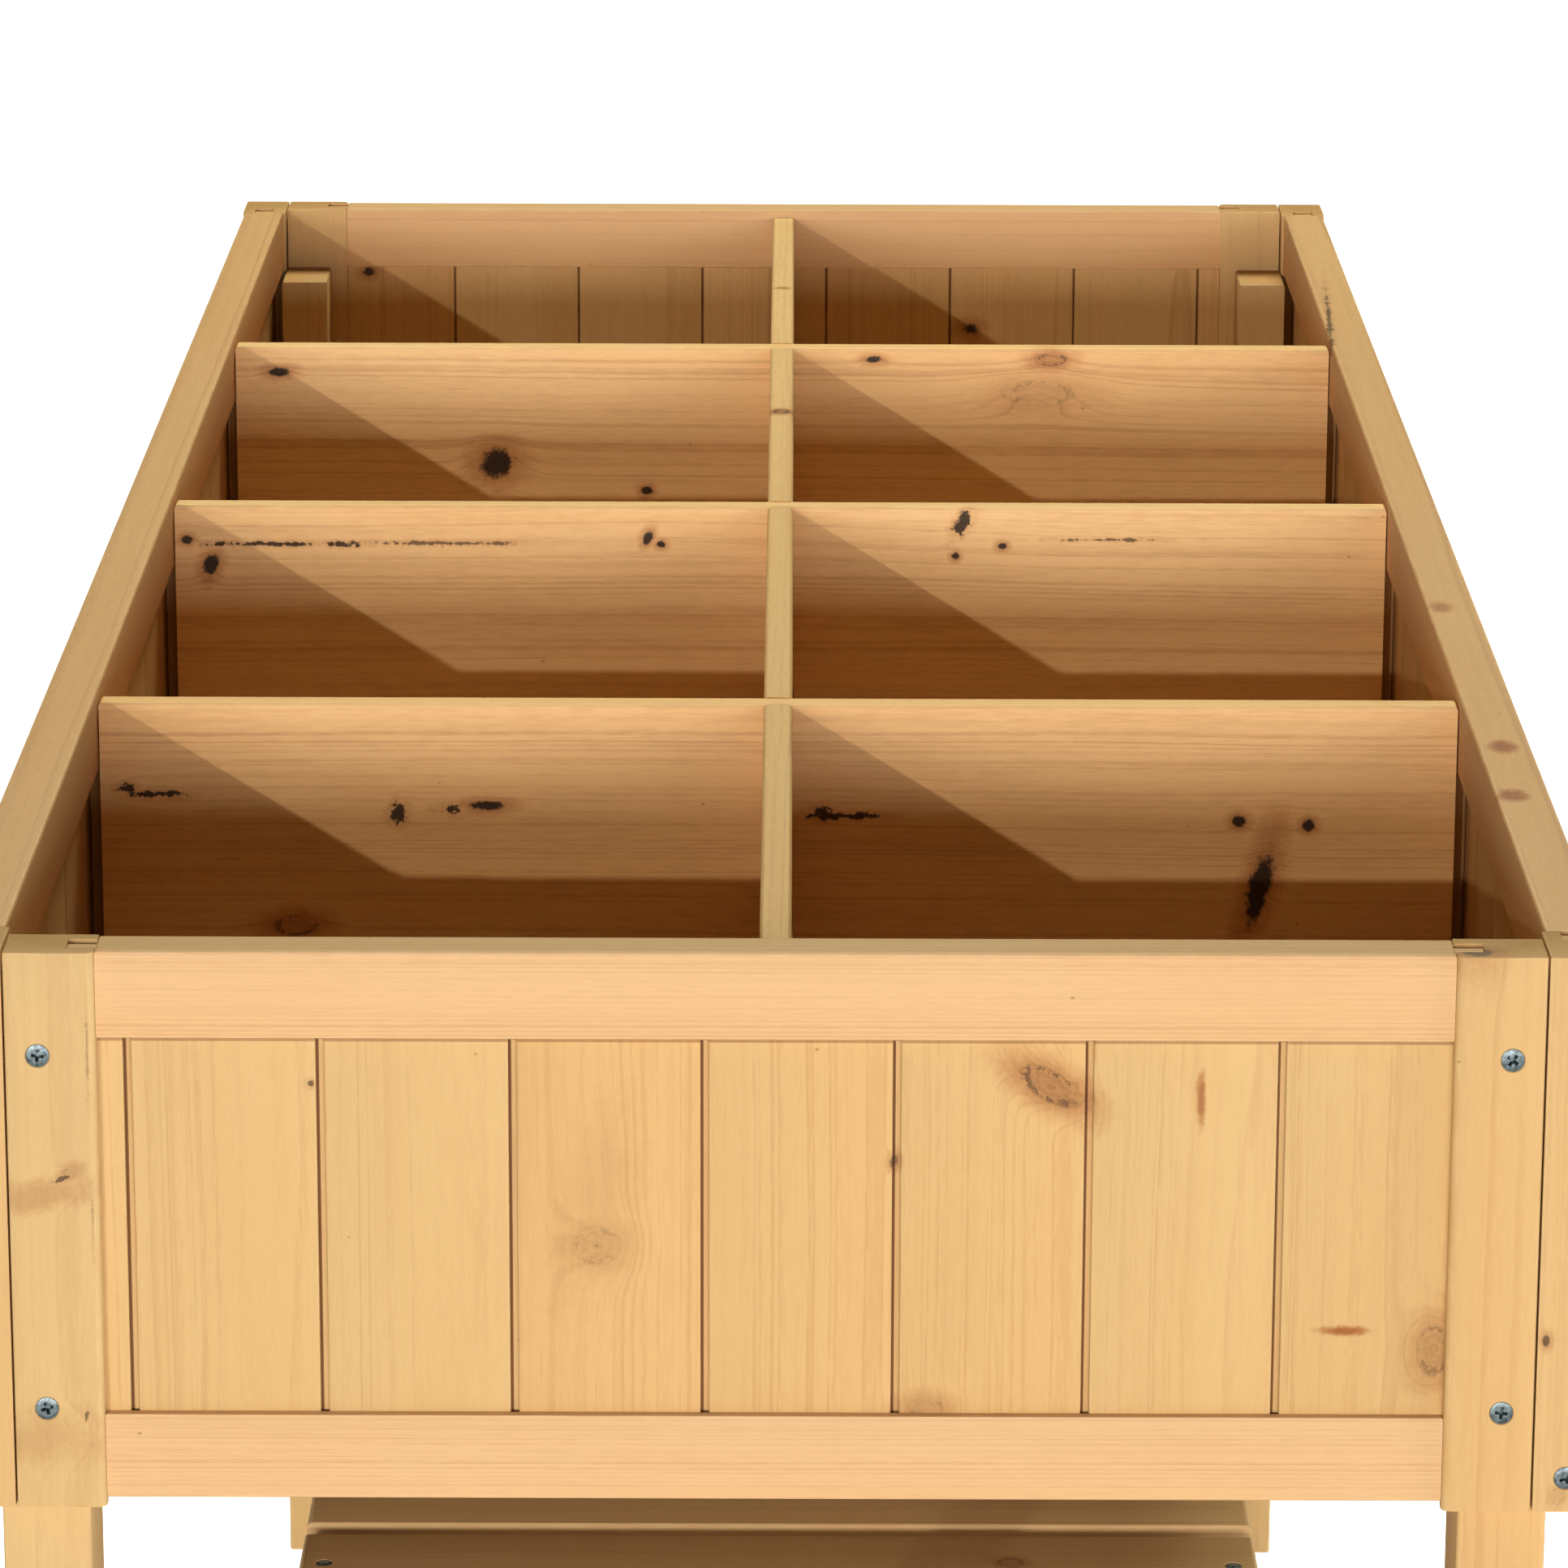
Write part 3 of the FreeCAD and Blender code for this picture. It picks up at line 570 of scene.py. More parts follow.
@dataclass(frozen=True)
class ZincFinish:
    """Blue-passivated zinc plating, a little dulled."""

    name: str = "zinc"
    bright: Colour = (0.19, 0.23, 0.26, 1.0)
    dull: Colour = (0.05, 0.07, 0.085, 1.0)
    roughness: float = 0.42

    def build(self) -> bpy.types.Material:
        """Make the material.

        Returns:
            The material.
        """
        material, g, shader = paint(self.name)
        places = g.add("ShaderNodeTexCoord").outputs["Object"]
        cloud = g.noise(places, 700.0, 3.0, 0.6)
        fine = g.noise(places, 3500.0, 2.0, 0.5)
        g.feed(shader.inputs["Base Color"], g.mix("MIX", g.ease(cloud, 0.4, 0.7), self.bright, self.dull))
        shader.inputs["Metallic"].default_value = 0.9
        g.feed(shader.inputs["Roughness"], g.math("MULTIPLY_ADD", cloud, 0.25, self.roughness - 0.1))
        g.bump(shader, fine, 0.2, 0.05 * MM)
        return material


# ---------------------------------------------------------------- the bench

def only(obj: bpy.types.Object) -> None:
    """Select one object alone and make it active.

    Args:
        obj: The object.
    """
    bpy.ops.object.select_all(action="DESELECT")
    obj.select_set(True)
    bpy.context.view_layer.objects.active = obj


def join(name: str, objects: Sequence[bpy.types.Object]) -> bpy.types.Object:
    """Join objects into one.

    Args:
        name: The name of the whole.
        objects: The objects, the first of which takes in the rest.

    Returns:
        The whole.
    """
    only(objects[0])
    for obj in objects[1:]:
        obj.select_set(True)
    if len(objects) > 1:
        bpy.ops.object.join()
    objects[0].name = name
    return objects[0]


@dataclass(frozen=True)
class ScrewPlace:
    """Where a screw sits: the middle of its head's face, the way it is driven and its length."""

    head: Vector
    drive: Vector
    length: float


class Timber:
    """A sawn length of wood on the bench, shaped by cuts, pushes and rounded arrises."""

    def __init__(self, name: str, low: Sequence[float], high: Sequence[float]) -> None:
        """Saw the blank.

        Args:
            name: The piece's name.
            low: Its lowest corner.
            high: Its highest corner.
        """
        low, high = Vector(low), Vector(high)
        bpy.ops.object.select_all(action="DESELECT")
        bpy.ops.mesh.primitive_cube_add(size=1.0, location=(low + high) / 2, scale=high - low)
        bpy.ops.object.transform_apply(location=True, rotation=True, scale=True)
        self.object = bpy.context.active_object
        self.object.name = name
        self.low = low
        self.high = high

    @classmethod
    def of(cls, piece: bpy.types.Object) -> "Timber":
        """Take a finished mesh object onto the bench.

        Args:
            piece: The object.

        Returns:
            The object as a timber.
        """
        timber = cls.__new__(cls)
        timber.object = piece
        timber.measure()
        return timber

    def measure(self) -> None:
        """Read the timber's lowest and highest corner from its mesh."""
        points = [vertex.co for vertex in self.object.data.vertices]
        self.low = Vector([min(p[i] for p in points) for i in range(3)])
        self.high = Vector([max(p[i] for p in points) for i in range(3)])

    def pick(self, kind: str, test: Callable[[object], bool]) -> None:
        """Enter edit mode and select the corners, edges or faces that pass a test.

        Args:
            kind: VERT, EDGE or FACE.
            test: Takes one of them.
        """
        only(self.object)
        bpy.ops.object.mode_set(mode="EDIT")
        bpy.ops.mesh.select_mode(type=kind)
        bpy.ops.mesh.select_all(action="DESELECT")
        mesh = bmesh.from_edit_mesh(self.object.data)
        for part in {"VERT": mesh.verts, "EDGE": mesh.edges, "FACE": mesh.faces}[kind]:
            if test(part):
                part.select_set(True)
        bmesh.update_edit_mesh(self.object.data)

    def bevel(self, radius: float, segments: int) -> "Timber":
        """Round the selected edges and leave edit mode.

        Args:
            radius: How far the rounding reaches.
            segments: Faces across the rounding.

        Returns:
            The timber itself.
        """
        bpy.ops.mesh.bevel(offset=radius, segments=segments, affect="EDGES", clamp_overlap=True)
        bpy.ops.object.mode_set(mode="OBJECT")
        return self

    def round_edges(self, test: PointTest, radius: float, segments: int = 3) -> "Timber":
        """Round every edge whose two ends both pass a test.

        Args:
            test: Takes an end point.
            radius: How far the rounding reaches.
            segments: Faces across the rounding; one makes a bevel.

        Returns:
            The timber itself.
        """
        self.pick("EDGE", lambda edge: all(test(vertex.co) for vertex in edge.verts))
        return self.bevel(radius, segments)

    def round_along(self, axis: Axis, radius: float, segments: int = 3) -> "Timber":
        """Round the four arrises that run along an axis.

        Args:
            axis: The axis.
            radius: How far the rounding reaches.
            segments: Faces across the rounding.

        Returns:
            The timber itself.
        """
        others = [i for i in range(3) if i != axis.value]

        def arris(edge: bmesh.types.BMEdge) -> bool:
            """Whether an edge is one of the four.

            Args:
                edge: The edge.

            Returns:
                True if it is.
            """
            first, second = (vertex.co for vertex in edge.verts)
            return all(at(first[i], second[i]) and at(first[i], self.low[i], self.high[i])
                       for i in others)

        self.pick("EDGE", arris)
        return self.bevel(radius, segments)

    def split(self, axis: Axis, place: float, **settings: bool) -> "Timber":
        """Score the whole timber round at a plane across an axis.

        Args:
            axis: The axis.
            place: Where the plane stands along it.
            settings: What else the cut does.

        Returns:
            The timber itself.
        """
        only(self.object)
        bpy.ops.object.mode_set(mode="EDIT")
        bpy.ops.mesh.select_all(action="SELECT")
        bpy.ops.mesh.bisect(plane_co=axis.vector(place), plane_no=axis.vector(1.0), **settings)
        bpy.ops.object.mode_set(mode="OBJECT")
        return self

    def trim(self, axis: Axis, place: float, keep_above: bool) -> "Timber":
        """Saw off one side at a plane across an axis and close the cut."""
        return self.split(axis, place, use_fill=True, clear_inner=keep_above,
                          clear_outer=not keep_above)

    def push(self, normal: Triple, test: PointTest, distance: float) -> "Timber":
        """Extrude the faces that look one way and whose middle passes a test.

        Args:
            normal: The way the faces look, which is also the way they go.
            test: Takes a face's middle.
            distance: How far they go.

        Returns:
            The timber itself.
        """
        way = Vector(normal)
        self.pick("FACE", lambda face: face.normal.dot(way) > SAME_WAY
                  and test(face.calc_center_median()))
        bpy.ops.mesh.extrude_region_move(TRANSFORM_OT_translate={"value": way * distance})
        bpy.ops.object.mode_set(mode="OBJECT")
        return self

    def cut(self, *cutters: bpy.types.Object) -> "Timber":
        """Take the shape of cutters out of the timber, and throw them away.

        Args:
            cutters: The objects to take out.

        Returns:
            The timber itself.
        """
        if not cutters:
            return self
        tool = join("cutter", cutters)
        only(self.object)
        modifier = self.object.modifiers.new("cut", "BOOLEAN")
        modifier.operation = "DIFFERENCE"
        modifier.solver = "EXACT"
        modifier.object = tool
        bpy.ops.object.modifier_apply(modifier=modifier.name)
        bpy.data.objects.remove(tool, do_unlink=True)
        return self

    def cut_box(self, low: Sequence[float], high: Sequence[float]) -> "Timber":
        """Take a box out of the timber."""
        return self.cut(Timber("cutter", low, high).object)

    def drill(self, screws: Sequence[ScrewPlace], head_radius: float = 3.55 * MM,
              depth: float = 2.7 * MM) -> "Timber":
        """Countersink the timber for the screws whose heads lie on its faces.

        Args:
            screws: Any screws; those elsewhere are passed over.
            head_radius: The countersink's radius at the surface.
            depth: How deep the sloping part goes.

        Returns:
            The timber itself.
        """
        cutters = []
        margin = Vector((FACE_MARGIN,) * 3)
        for screw in screws:
            inside = all(low <= value <= high for low, value, high
                         in zip(self.low - margin, screw.head, self.high + margin))
            if not inside:
                continue
            bpy.ops.object.select_all(action="DESELECT")
            bpy.ops.mesh.primitive_cone_add(
                vertices=SINK_SIDES, radius1=SINK_TIP, radius2=head_radius + SINK_FLARE,
                depth=depth + SINK_ABOVE, location=screw.head + screw.drive * (depth - SINK_ABOVE) / 2,
                rotation=screw.drive.to_track_quat("-Z", "Y").to_euler())
            bpy.ops.object.transform_apply(location=True, rotation=True, scale=True)
            cutters.append(bpy.context.active_object)
        return self.cut(*cutters)

    def grow(self, along: Axis, face: Axis, key: str,
             recess: Callable[[Vector], float] = lambda p: 0.0) -> bpy.types.Object:
        """Give the timber its own piece of log, and mark its arrises for a painted highlight, its sawn ends,
        and the painted shade on its faces.

        Args:
            along: The way its grain runs.
            face: The way its broad face looks.
            key: What its log is drawn by, so that every run gives the same.
            recess: Takes a face's middle, and says how much painted shade it takes in a corner or recess.

        Returns:
            The finished object.
        """
        mesh = self.object.data
        draw = random.Random(key)
        seed = (draw.random(), draw.random(), draw.random())
        shift = draw.uniform(-0.5, 0.5)
        middle = (self.low + self.high) / 2
        across = 3 - along.value - face.value
        grain = mesh.attributes.new("grain", "FLOAT_VECTOR", "POINT")
        values = []
        for vertex in mesh.vertices:
            place = vertex.co - middle
            values += [place[along.value] + shift, place[across], place[face.value]]
        grain.data.foreach_set("vector", values)
        mesh.attributes.new("seed", "FLOAT_VECTOR", "POINT").data.foreach_set(
            "vector", seed * len(mesh.vertices))
        marks = mesh.attributes.new("marks", "FLOAT_VECTOR", "FACE")
        values = []
        for polygon in mesh.polygons:
            strongest = max(abs(part) for part in polygon.normal)
            # The arrises that take a painted highlight, the sawn ends, and each face's share of painted
            # shade.
            values += [1.0 if strongest < SQUARE_ON else 0.0,
                       1.0 if abs(polygon.normal[along.value]) > SAWN_END else 0.0,
                       recess(polygon.center)]
        marks.data.foreach_set("vector", values)
        only(self.object)
        bpy.ops.object.shade_smooth_by_angle(angle=SMOOTH_ANGLE)
        return self.object


def dress(piece: bpy.types.Object, material: bpy.types.Material, slot: Slot, body: str,
          *nodes: str) -> bpy.types.Object:
    """Give a piece its finish, its body and the CAD nodes it stands for.

    Args:
        piece: The finished piece.
        material: Its material.
        slot: The slot for it; not used.
        body: The body it moves with.
        nodes: The nodes it replaces.

    Returns:
        The piece.
    """
    piece.data.materials.clear()
    piece.data.materials.append(material)
    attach(piece, body)
    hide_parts(*nodes)
    LOG.info("%s on %s, %d faces", piece.name, body, len(piece.data.polygons))
    return piece


def screw_places(node: str) -> list[ScrewPlace]:
    """Find each screw of a CAD node: its head, its direction and its length.

    Args:
        node: The node of screws.

    Returns:
        One place for each screw, in a fixed order.
    """
    mesh = bmesh.new()
    mesh.from_mesh(bpy.data.objects[node].data)
    bmesh.ops.remove_doubles(mesh, verts=mesh.verts, dist=SAME_POINT)
    left = set(mesh.verts)
    places = []
    while left:
        island, stack = set(), [left.pop()]
        while stack:
            vertex = stack.pop()
            island.add(vertex)
            for edge in vertex.link_edges:
                other = edge.other_vert(vertex)
                if other in left:
                    left.discard(other)
                    stack.append(other)
        points = [vertex.co for vertex in island]
        low = Vector([min(p[i] for p in points) for i in range(3)])
        high = Vector([max(p[i] for p in points) for i in range(3)])
        span = high - low
        axis = max(range(3), key=lambda i: span[i])
        middle = (low + high) / 2
        spread = {}
        for end in (low, high):
            near = [p for p in points if abs(p[axis] - end[axis]) < END_BAND]
            spread[end[axis]] = max((p - middle).length_squared - (p[axis] - middle[axis]) ** 2
                                    for p in near)
        head_level = max(spread, key=lambda level: spread[level])
        head = middle.copy()
        head[axis] = head_level
        drive = Vector((0.0, 0.0, 0.0))
        drive[axis] = 1.0 if head_level == low[axis] else -1.0
        places.append(ScrewPlace(head, drive, span[axis]))
    mesh.free()
    return sorted(places, key=lambda p: tuple(round(v, 4) for v in p.head))


# ---------------------------------------------------------------- finishes

HONEY = srgb(207, 173, 122)
HONEY_LATE = srgb(178, 133, 84)
ROSE = srgb(216, 175, 130)
ROSE_LATE = srgb(186, 134, 94)


class Workshop:
    """What every maker of pieces needs: the shared effects, the finishes and the screws' places."""

    SCREW_NODES = ("panel_screws", "frame_screws", "shelf_screws", "shelf_rail_screws",
                   "ledger_screws", "floor_screws", "batten_screws")

    def __init__(self) -> None:
        """Make the effects and the plain finishes, and find the screws."""
        self.effects = Effects()
        self.stile = WoodFinish("stile_wood", HONEY, HONEY_LATE, spacing=3.2 * MM,
                                pith=(0.0, 0.05, 0.11), wave=5 * MM, contrast=0.4, fibre=0.62)
        self.rail = WoodFinish("rail_wood", ROSE, ROSE_LATE, spacing=1.3 * MM, pith=(0.0, 0.16, 0.05),
                               wave=3 * MM, contrast=0.5, fibre=0.62)
        self.board = WoodFinish("board_wood", HONEY, HONEY_LATE, spacing=3.6 * MM,
                                pith=(0.0, 0.03, 0.045), wave=10 * MM, contrast=0.45, fibre=0.72)
        self.divider = WoodFinish("divider_wood", srgb(250, 210, 156), srgb(190, 126, 76),
                                  spacing=4.4 * MM, pith=(0.0, 0.11, 0.05), wave=15 * MM,
                                  contrast=0.42, fibre=0.62, blotch=0.5)
        self.slat = WoodFinish("slat_wood", srgb(214, 180, 132), srgb(176, 130, 84), spacing=3.4 * MM,
                               pith=(0.0, 0.04, 0.07), wave=8 * MM, contrast=0.5)
        self.inner = WoodFinish("inner_timber", srgb(186, 148, 104), srgb(150, 104, 66),
                                spacing=3.0 * MM, wave=5 * MM)
        self.screws = {node: screw_places(node) for node in self.SCREW_NODES}
        self.made: dict[WoodFinish, bpy.types.Material] = {}

    def wood(self, finish: WoodFinish) -> bpy.types.Material:
        """The material of a finish, made the first time it is asked for.

        Args:
            finish: The finish.

        Returns:
            The material.
        """
        if finish not in self.made:
            self.made[finish] = finish.build(self.effects)
        return self.made[finish]

    def all_screws(self) -> list[ScrewPlace]:
        """Every screw of the planter."""
        return [place for group in self.screws.values() for place in group]


# ---------------------------------------------------------------- walls

class Side(Enum):
    """The four walls, each with the turn that takes the front wall to it."""

    FRONT = 0
    RIGHT = 90
    BACK = 180
    LEFT = -90

    @property
    def label(self) -> str:
        """The wall's name in lower case."""
        return self.name.lower()

    @property
    def along(self) -> Axis:
        """The way the wall runs."""
        return Axis.X if self in (Side.FRONT, Side.BACK) else Axis.Y

    @property
    def through(self) -> Axis:
        """The way through the wall."""
        return Axis.Y if self.along is Axis.X else Axis.X

    @property
    def outward(self) -> int:
        """Which way along that axis is outside."""
        return 1 if self in (Side.RIGHT, Side.BACK) else -1


@dataclass
class Wall:
    """One framed wall of the box: stiles, rails and tongue-and-groove boards."""

    side: Side
    outer: float
    half_opening: float
    first_strip: float
    shop: Workshop
    board_knots: tuple[Knot, ...] = ()
    piece_knots: dict[str, tuple[Knot, ...]] = field(default_factory=dict)
    tenon: float = 8 * MM
    groove_near: float = 5 * MM
    groove_far: float = 13 * MM
    groove_depth: float = 6 * MM
    pitch: float = 53 * MM
    reveal: float = 2.3 * MM
    reveal_depth: float = 2 * MM
    tongue: float = 3 * MM
    clearance: float = 0.3 * MM
    end_gap: float = 1 * MM
    under_rail: float = 575 * MM
    # Painted shade on the boards: in each joint's corner, on the back arrises, under the top rail and
    # faintly on the recessed strip.
    dirt_width: float = 0.8 * MM
    shade_width: float = 1.7 * MM
    back_round: float = 0.5 * MM
    board_round: float = 0.45 * MM
    stile_round: float = 2.5 * MM
    stile_foot_round: float = 3 * MM
    stile_outer_round: float = 0.8 * MM
    stile_top_round: float = 0.45 * MM
    rail_lip_round: float = 1.1 * MM
    rail_inner_round: float = 0.5 * MM
    back_dirt: float = 0.7
    rail_dirt: float = 0.6
    strip_dirt: float = 0.12

    def span(self, near: float, far: float) -> tuple[float, float]:
        """Low and high place through the wall, for two depths from its outer face."""
        ends = sorted(self.side.outward * (self.outer - depth) for depth in (near, far))
        return ends[0], ends[1]

    def corners(self, along: tuple[float, float], through: tuple[float, float],
                height: tuple[float, float]) -> tuple[Vector, Vector]:
        """Turn a stretch along the wall, one through it and one up it into a box.

        Args:
            along: The stretch along the wall.
            through: The stretch through it.
            height: The stretch up it.

        Returns:
            The box's lowest and highest corner.
        """
        low, high = Vector((0.0, 0.0, height[0])), Vector((0.0, 0.0, height[1]))
        low[self.side.along.value], high[self.side.along.value] = along
        low[self.side.through.value], high[self.side.through.value] = through
        return low, high

    def finish_for(self, name: str, finish: WoodFinish) -> WoodFinish:
        """The finish with the piece's own knots, if it has any."""
        knots = self.piece_knots.get(name, ())
        return replace(finish, name=f"{name}_wood", knots=knots) if knots else finish

    def stile(self, name: str) -> None:
        """Shape one upright: a groove in its inner edge, a broad round and soft arrises.

        Args:
            name: The CAD node it stands for.
        """
        timber = Timber(f"{name}_post", *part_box(name))
        low, high = timber.low, timber.high
        axis, through = self.side.along.value, self.side.through.value
        inner_high = abs(high[axis]) < abs(low[axis])
        inner = high[axis] if inner_high else low[axis]
        face = high[through] if self.side.outward > 0 else low[through]
        outer = low[axis] if inner_high else high[axis]
        timber.round_edges(lambda p: at(p[axis], inner) and at(p[through], face),
                           self.stile_round, 5)
        timber.round_edges(lambda p: at(p[axis], inner) and at(p.z, low.z),
                           self.stile_foot_round, 4)
        timber.round_edges(lambda p: at(p[axis], outer) and at(p[through], face),
                           self.stile_outer_round)
        timber.round_edges(lambda p: at(p.z, high.z), self.stile_top_round, 2)
        reach = sorted((inner + math.copysign(self.tenon, inner), inner - math.copysign(MM, inner)))
        timber.cut_box(*self.corners(tuple(reach), self.span(self.groove_near, self.groove_far),
                                     (low.z - MM, high.z + MM)))
        timber.drill(self.shop.all_screws())
        piece = timber.grow(Axis.Z, self.side.through, name)
        dress(piece, self.shop.wood(self.finish_for(name, self.shop.stile)), Slot.FRAME,
              "planter", name)

    def rail(self, name: str, at_rim: bool) -> None:
        """Shape one rail: soft arrises, a tenon at each end and the boards' groove.

        Args:
            name: The CAD node it stands for.
            at_rim: Whether it is the top rail.
        """
        low, high = (Vector(corner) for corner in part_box(name))
        along = self.side.along
        low[along.value] += self.tenon
        high[along.value] -= self.tenon
        timber = Timber(f"{name}_bar", low, high)
        through = self.side.through.value
        lip, inner = (high.z, low.z) if at_rim else (low.z, high.z)
        for level, radius, segments in ((lip, self.rail_lip_round, 4),
                                        (inner, self.rail_inner_round, 2)):
            timber.round_edges(lambda p: at(p.z, level) and at(p[through], low[through], high[through]),
                               radius, segments)
        near, far = self.span(self.groove_near, self.groove_far)
        timber.split(self.side.through, near).split(self.side.through, far)
        for way in (-1.0, 1.0):
            timber.push(along.vector(way), lambda p: near < p[through] < far, self.tenon)
        reach = (low[along.value] - self.tenon - MM, high[along.value] + self.tenon + MM)
        floor = ((low.z - MM, low.z + self.groove_depth) if at_rim
                 else (high.z - self.groove_depth, high.z + MM))
        timber.cut_box(*self.corners(reach, (near, far), floor))
        timber.drill(self.shop.all_screws())
        piece = timber.grow(along, self.side.through, name)
        dress(piece, self.shop.wood(self.finish_for(name, self.shop.rail)), Slot.FRAME,
              "planter", name)

    def full_board(self, bottom: float, top: float) -> Timber:
        """Model one tongue-and-groove board with its face on the XZ plane, looking along -Y.

        Args:
            bottom: Height of its lower end.
            top: Height of its upper end.

        Returns:
            The board, its left edge at x = 0.
        """
        thick = self.groove_far - self.groove_near - self.clearance / 2
        shoulder = self.pitch - self.reveal
        board = Timber("board", (0.0, 0.0, bottom), (shoulder, thick, top))
        board.round_edges(lambda p: at(p.y, 0.0), self.board_round, 3)
        tongue_far = self.reveal_depth + self.tongue
        board.split(Axis.Y, self.reveal_depth).split(Axis.Y, tongue_far)
        board.push((1.0, 0.0, 0.0), lambda p: p.y > self.reveal_depth and p.x > shoulder - SLACK,
                   self.reveal - self.clearance)
        board.push((1.0, 0.0, 0.0),
                   lambda p: self.reveal_depth < p.y < tongue_far and p.x > shoulder - SLACK,
                   self.tongue + self.clearance)
        board.round_edges(lambda p: at(p.y, thick), self.back_round, 2)
        # Split off the faces that take painted shade: the joint's corner beside the shoulder, and the band
        # under the top rail.
        board.split(Axis.X, shoulder + self.dirt_width).split(Axis.Z, self.under_rail - self.shade_width)
        slack = self.clearance / 2
        board.cut_box((-MM, self.reveal_depth - slack, bottom - MM),
                      (self.tongue + self.clearance, tongue_far + slack, top + MM))
        return board

    def grime(self, place: Vector, shoulder: float) -> float:
        """How much painted shade a board's face takes: most in the joint's corner beside the next board's
        edge, less on its back arrises and under the top rail, and a little on the recessed strip.

        Args:
            place: The face's middle, with the wall turned to the front.
            shoulder: Where the board's front face ends.

        Returns:
            A share from 0 to 1.
        """
        depth = place.y + self.outer - self.groove_near
        back = self.groove_far - self.groove_near - self.clearance / 2
        if back - self.back_round < depth < back - SLACK:
            return self.back_dirt
        if depth > self.reveal_depth + SLACK or depth < -SLACK:
            return 0.0
        if place.z > self.under_rail - self.shade_width:
            return self.rail_dirt
        if depth < self.reveal_depth - SLACK:
            return 0.0
        return 1.0 if place.x < shoulder + self.dirt_width else self.strip_dirt

    def boards(self) -> None:
        """Lay the boards along the wall, trim the last ones and join them."""
        name = f"{self.side.label}_boards"
        low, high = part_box(name)
        pattern = self.full_board(low[2], high[2])
        turn = Matrix.Rotation(math.radians(self.side.value), 4, "Z")
        start = -self.half_opening + self.first_strip - self.pitch
        total = math.ceil((2 * self.half_opening - self.first_strip) / self.pitch) + 1
        reach = self.half_opening + self.tenon - self.end_gap
        laid = []
        for number in range(total):
            only(pattern.object)
            bpy.ops.object.duplicate()
            board = Timber.of(bpy.context.active_object)
            left = start + self.pitch * number
            bpy.ops.transform.translate(value=(left, -self.outer + self.groove_near, 0.0))
            bpy.ops.object.transform_apply(location=True, rotation=True, scale=True)
            if left < -reach:
                board.trim(Axis.X, -reach, True)
            if left + self.pitch + self.tongue > reach:
                board.trim(Axis.X, reach, False)
            board.object.data.transform(turn)
            board.measure()
            back = turn.inverted()
            laid.append(board.grow(Axis.Z, self.side.through, f"{name}{number}",
                                   lambda p: self.grime(back @ p, left + self.pitch - self.reveal)))
        bpy.data.objects.remove(pattern.object, do_unlink=True)
        piece = join(f"{name}_run", laid)
        finish = self.shop.board
        if self.board_knots:
            finish = replace(finish, name=f"{name}_wood", knots=self.board_knots)
        dress(piece, self.shop.wood(finish), Slot.PANEL, "planter", name)

    def build(self) -> None:
        """Make the whole wall."""
        label = self.side.label
        ends = ("left", "right") if self.side.along is Axis.X else ("front", "back")
        for end in ends:
            self.stile(f"{label}_stile_{end}")
        self.rail(f"{label}_top_rail", True)
        self.rail(f"{label}_bottom_rail", False)
        self.boards()


# ---------------------------------------------------------------- legs, dividers, floor and shelf

@dataclass
class Legs:
    """Four square legs, rebated for the walls, bevelled at the foot and at the top."""

    shop: Workshop
    shoulder: float = 6 * MM
    box_bottom: float = 438 * MM
    foot_bevel: float = 4 * MM
    top_bevel: float = 2 * MM
    arris: float = 1.2 * MM

    def build(self) -> None:
        """Make each leg."""
        for end in ("front", "back"):
            for side in ("left", "right"):
                name = f"leg_{end}_{side}"
                leg = Timber(f"{name}_post", *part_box(name))
                low, high = leg.low, leg.high
                leg.round_along(Axis.Z, self.arris)
                leg.round_edges(lambda p: at(p.z, low.z), self.foot_bevel, 2)
                edge = ((high.x - self.shoulder, high.x + MM) if abs(high.x) > abs(low.x)
                        else (low.x - MM, low.x + self.shoulder))
                leg.cut_box((edge[0], low.y - MM, self.box_bottom), (edge[1], high.y + MM, high.z + MM))
                leg.round_edges(lambda p: at(p.z, high.z), self.top_bevel, 2)
                leg.drill(self.shop.all_screws())
                piece = leg.grow(Axis.Z, Axis.Y, name)
                dress(piece, self.shop.wood(self.shop.stile), Slot.FRAME, "planter", name)


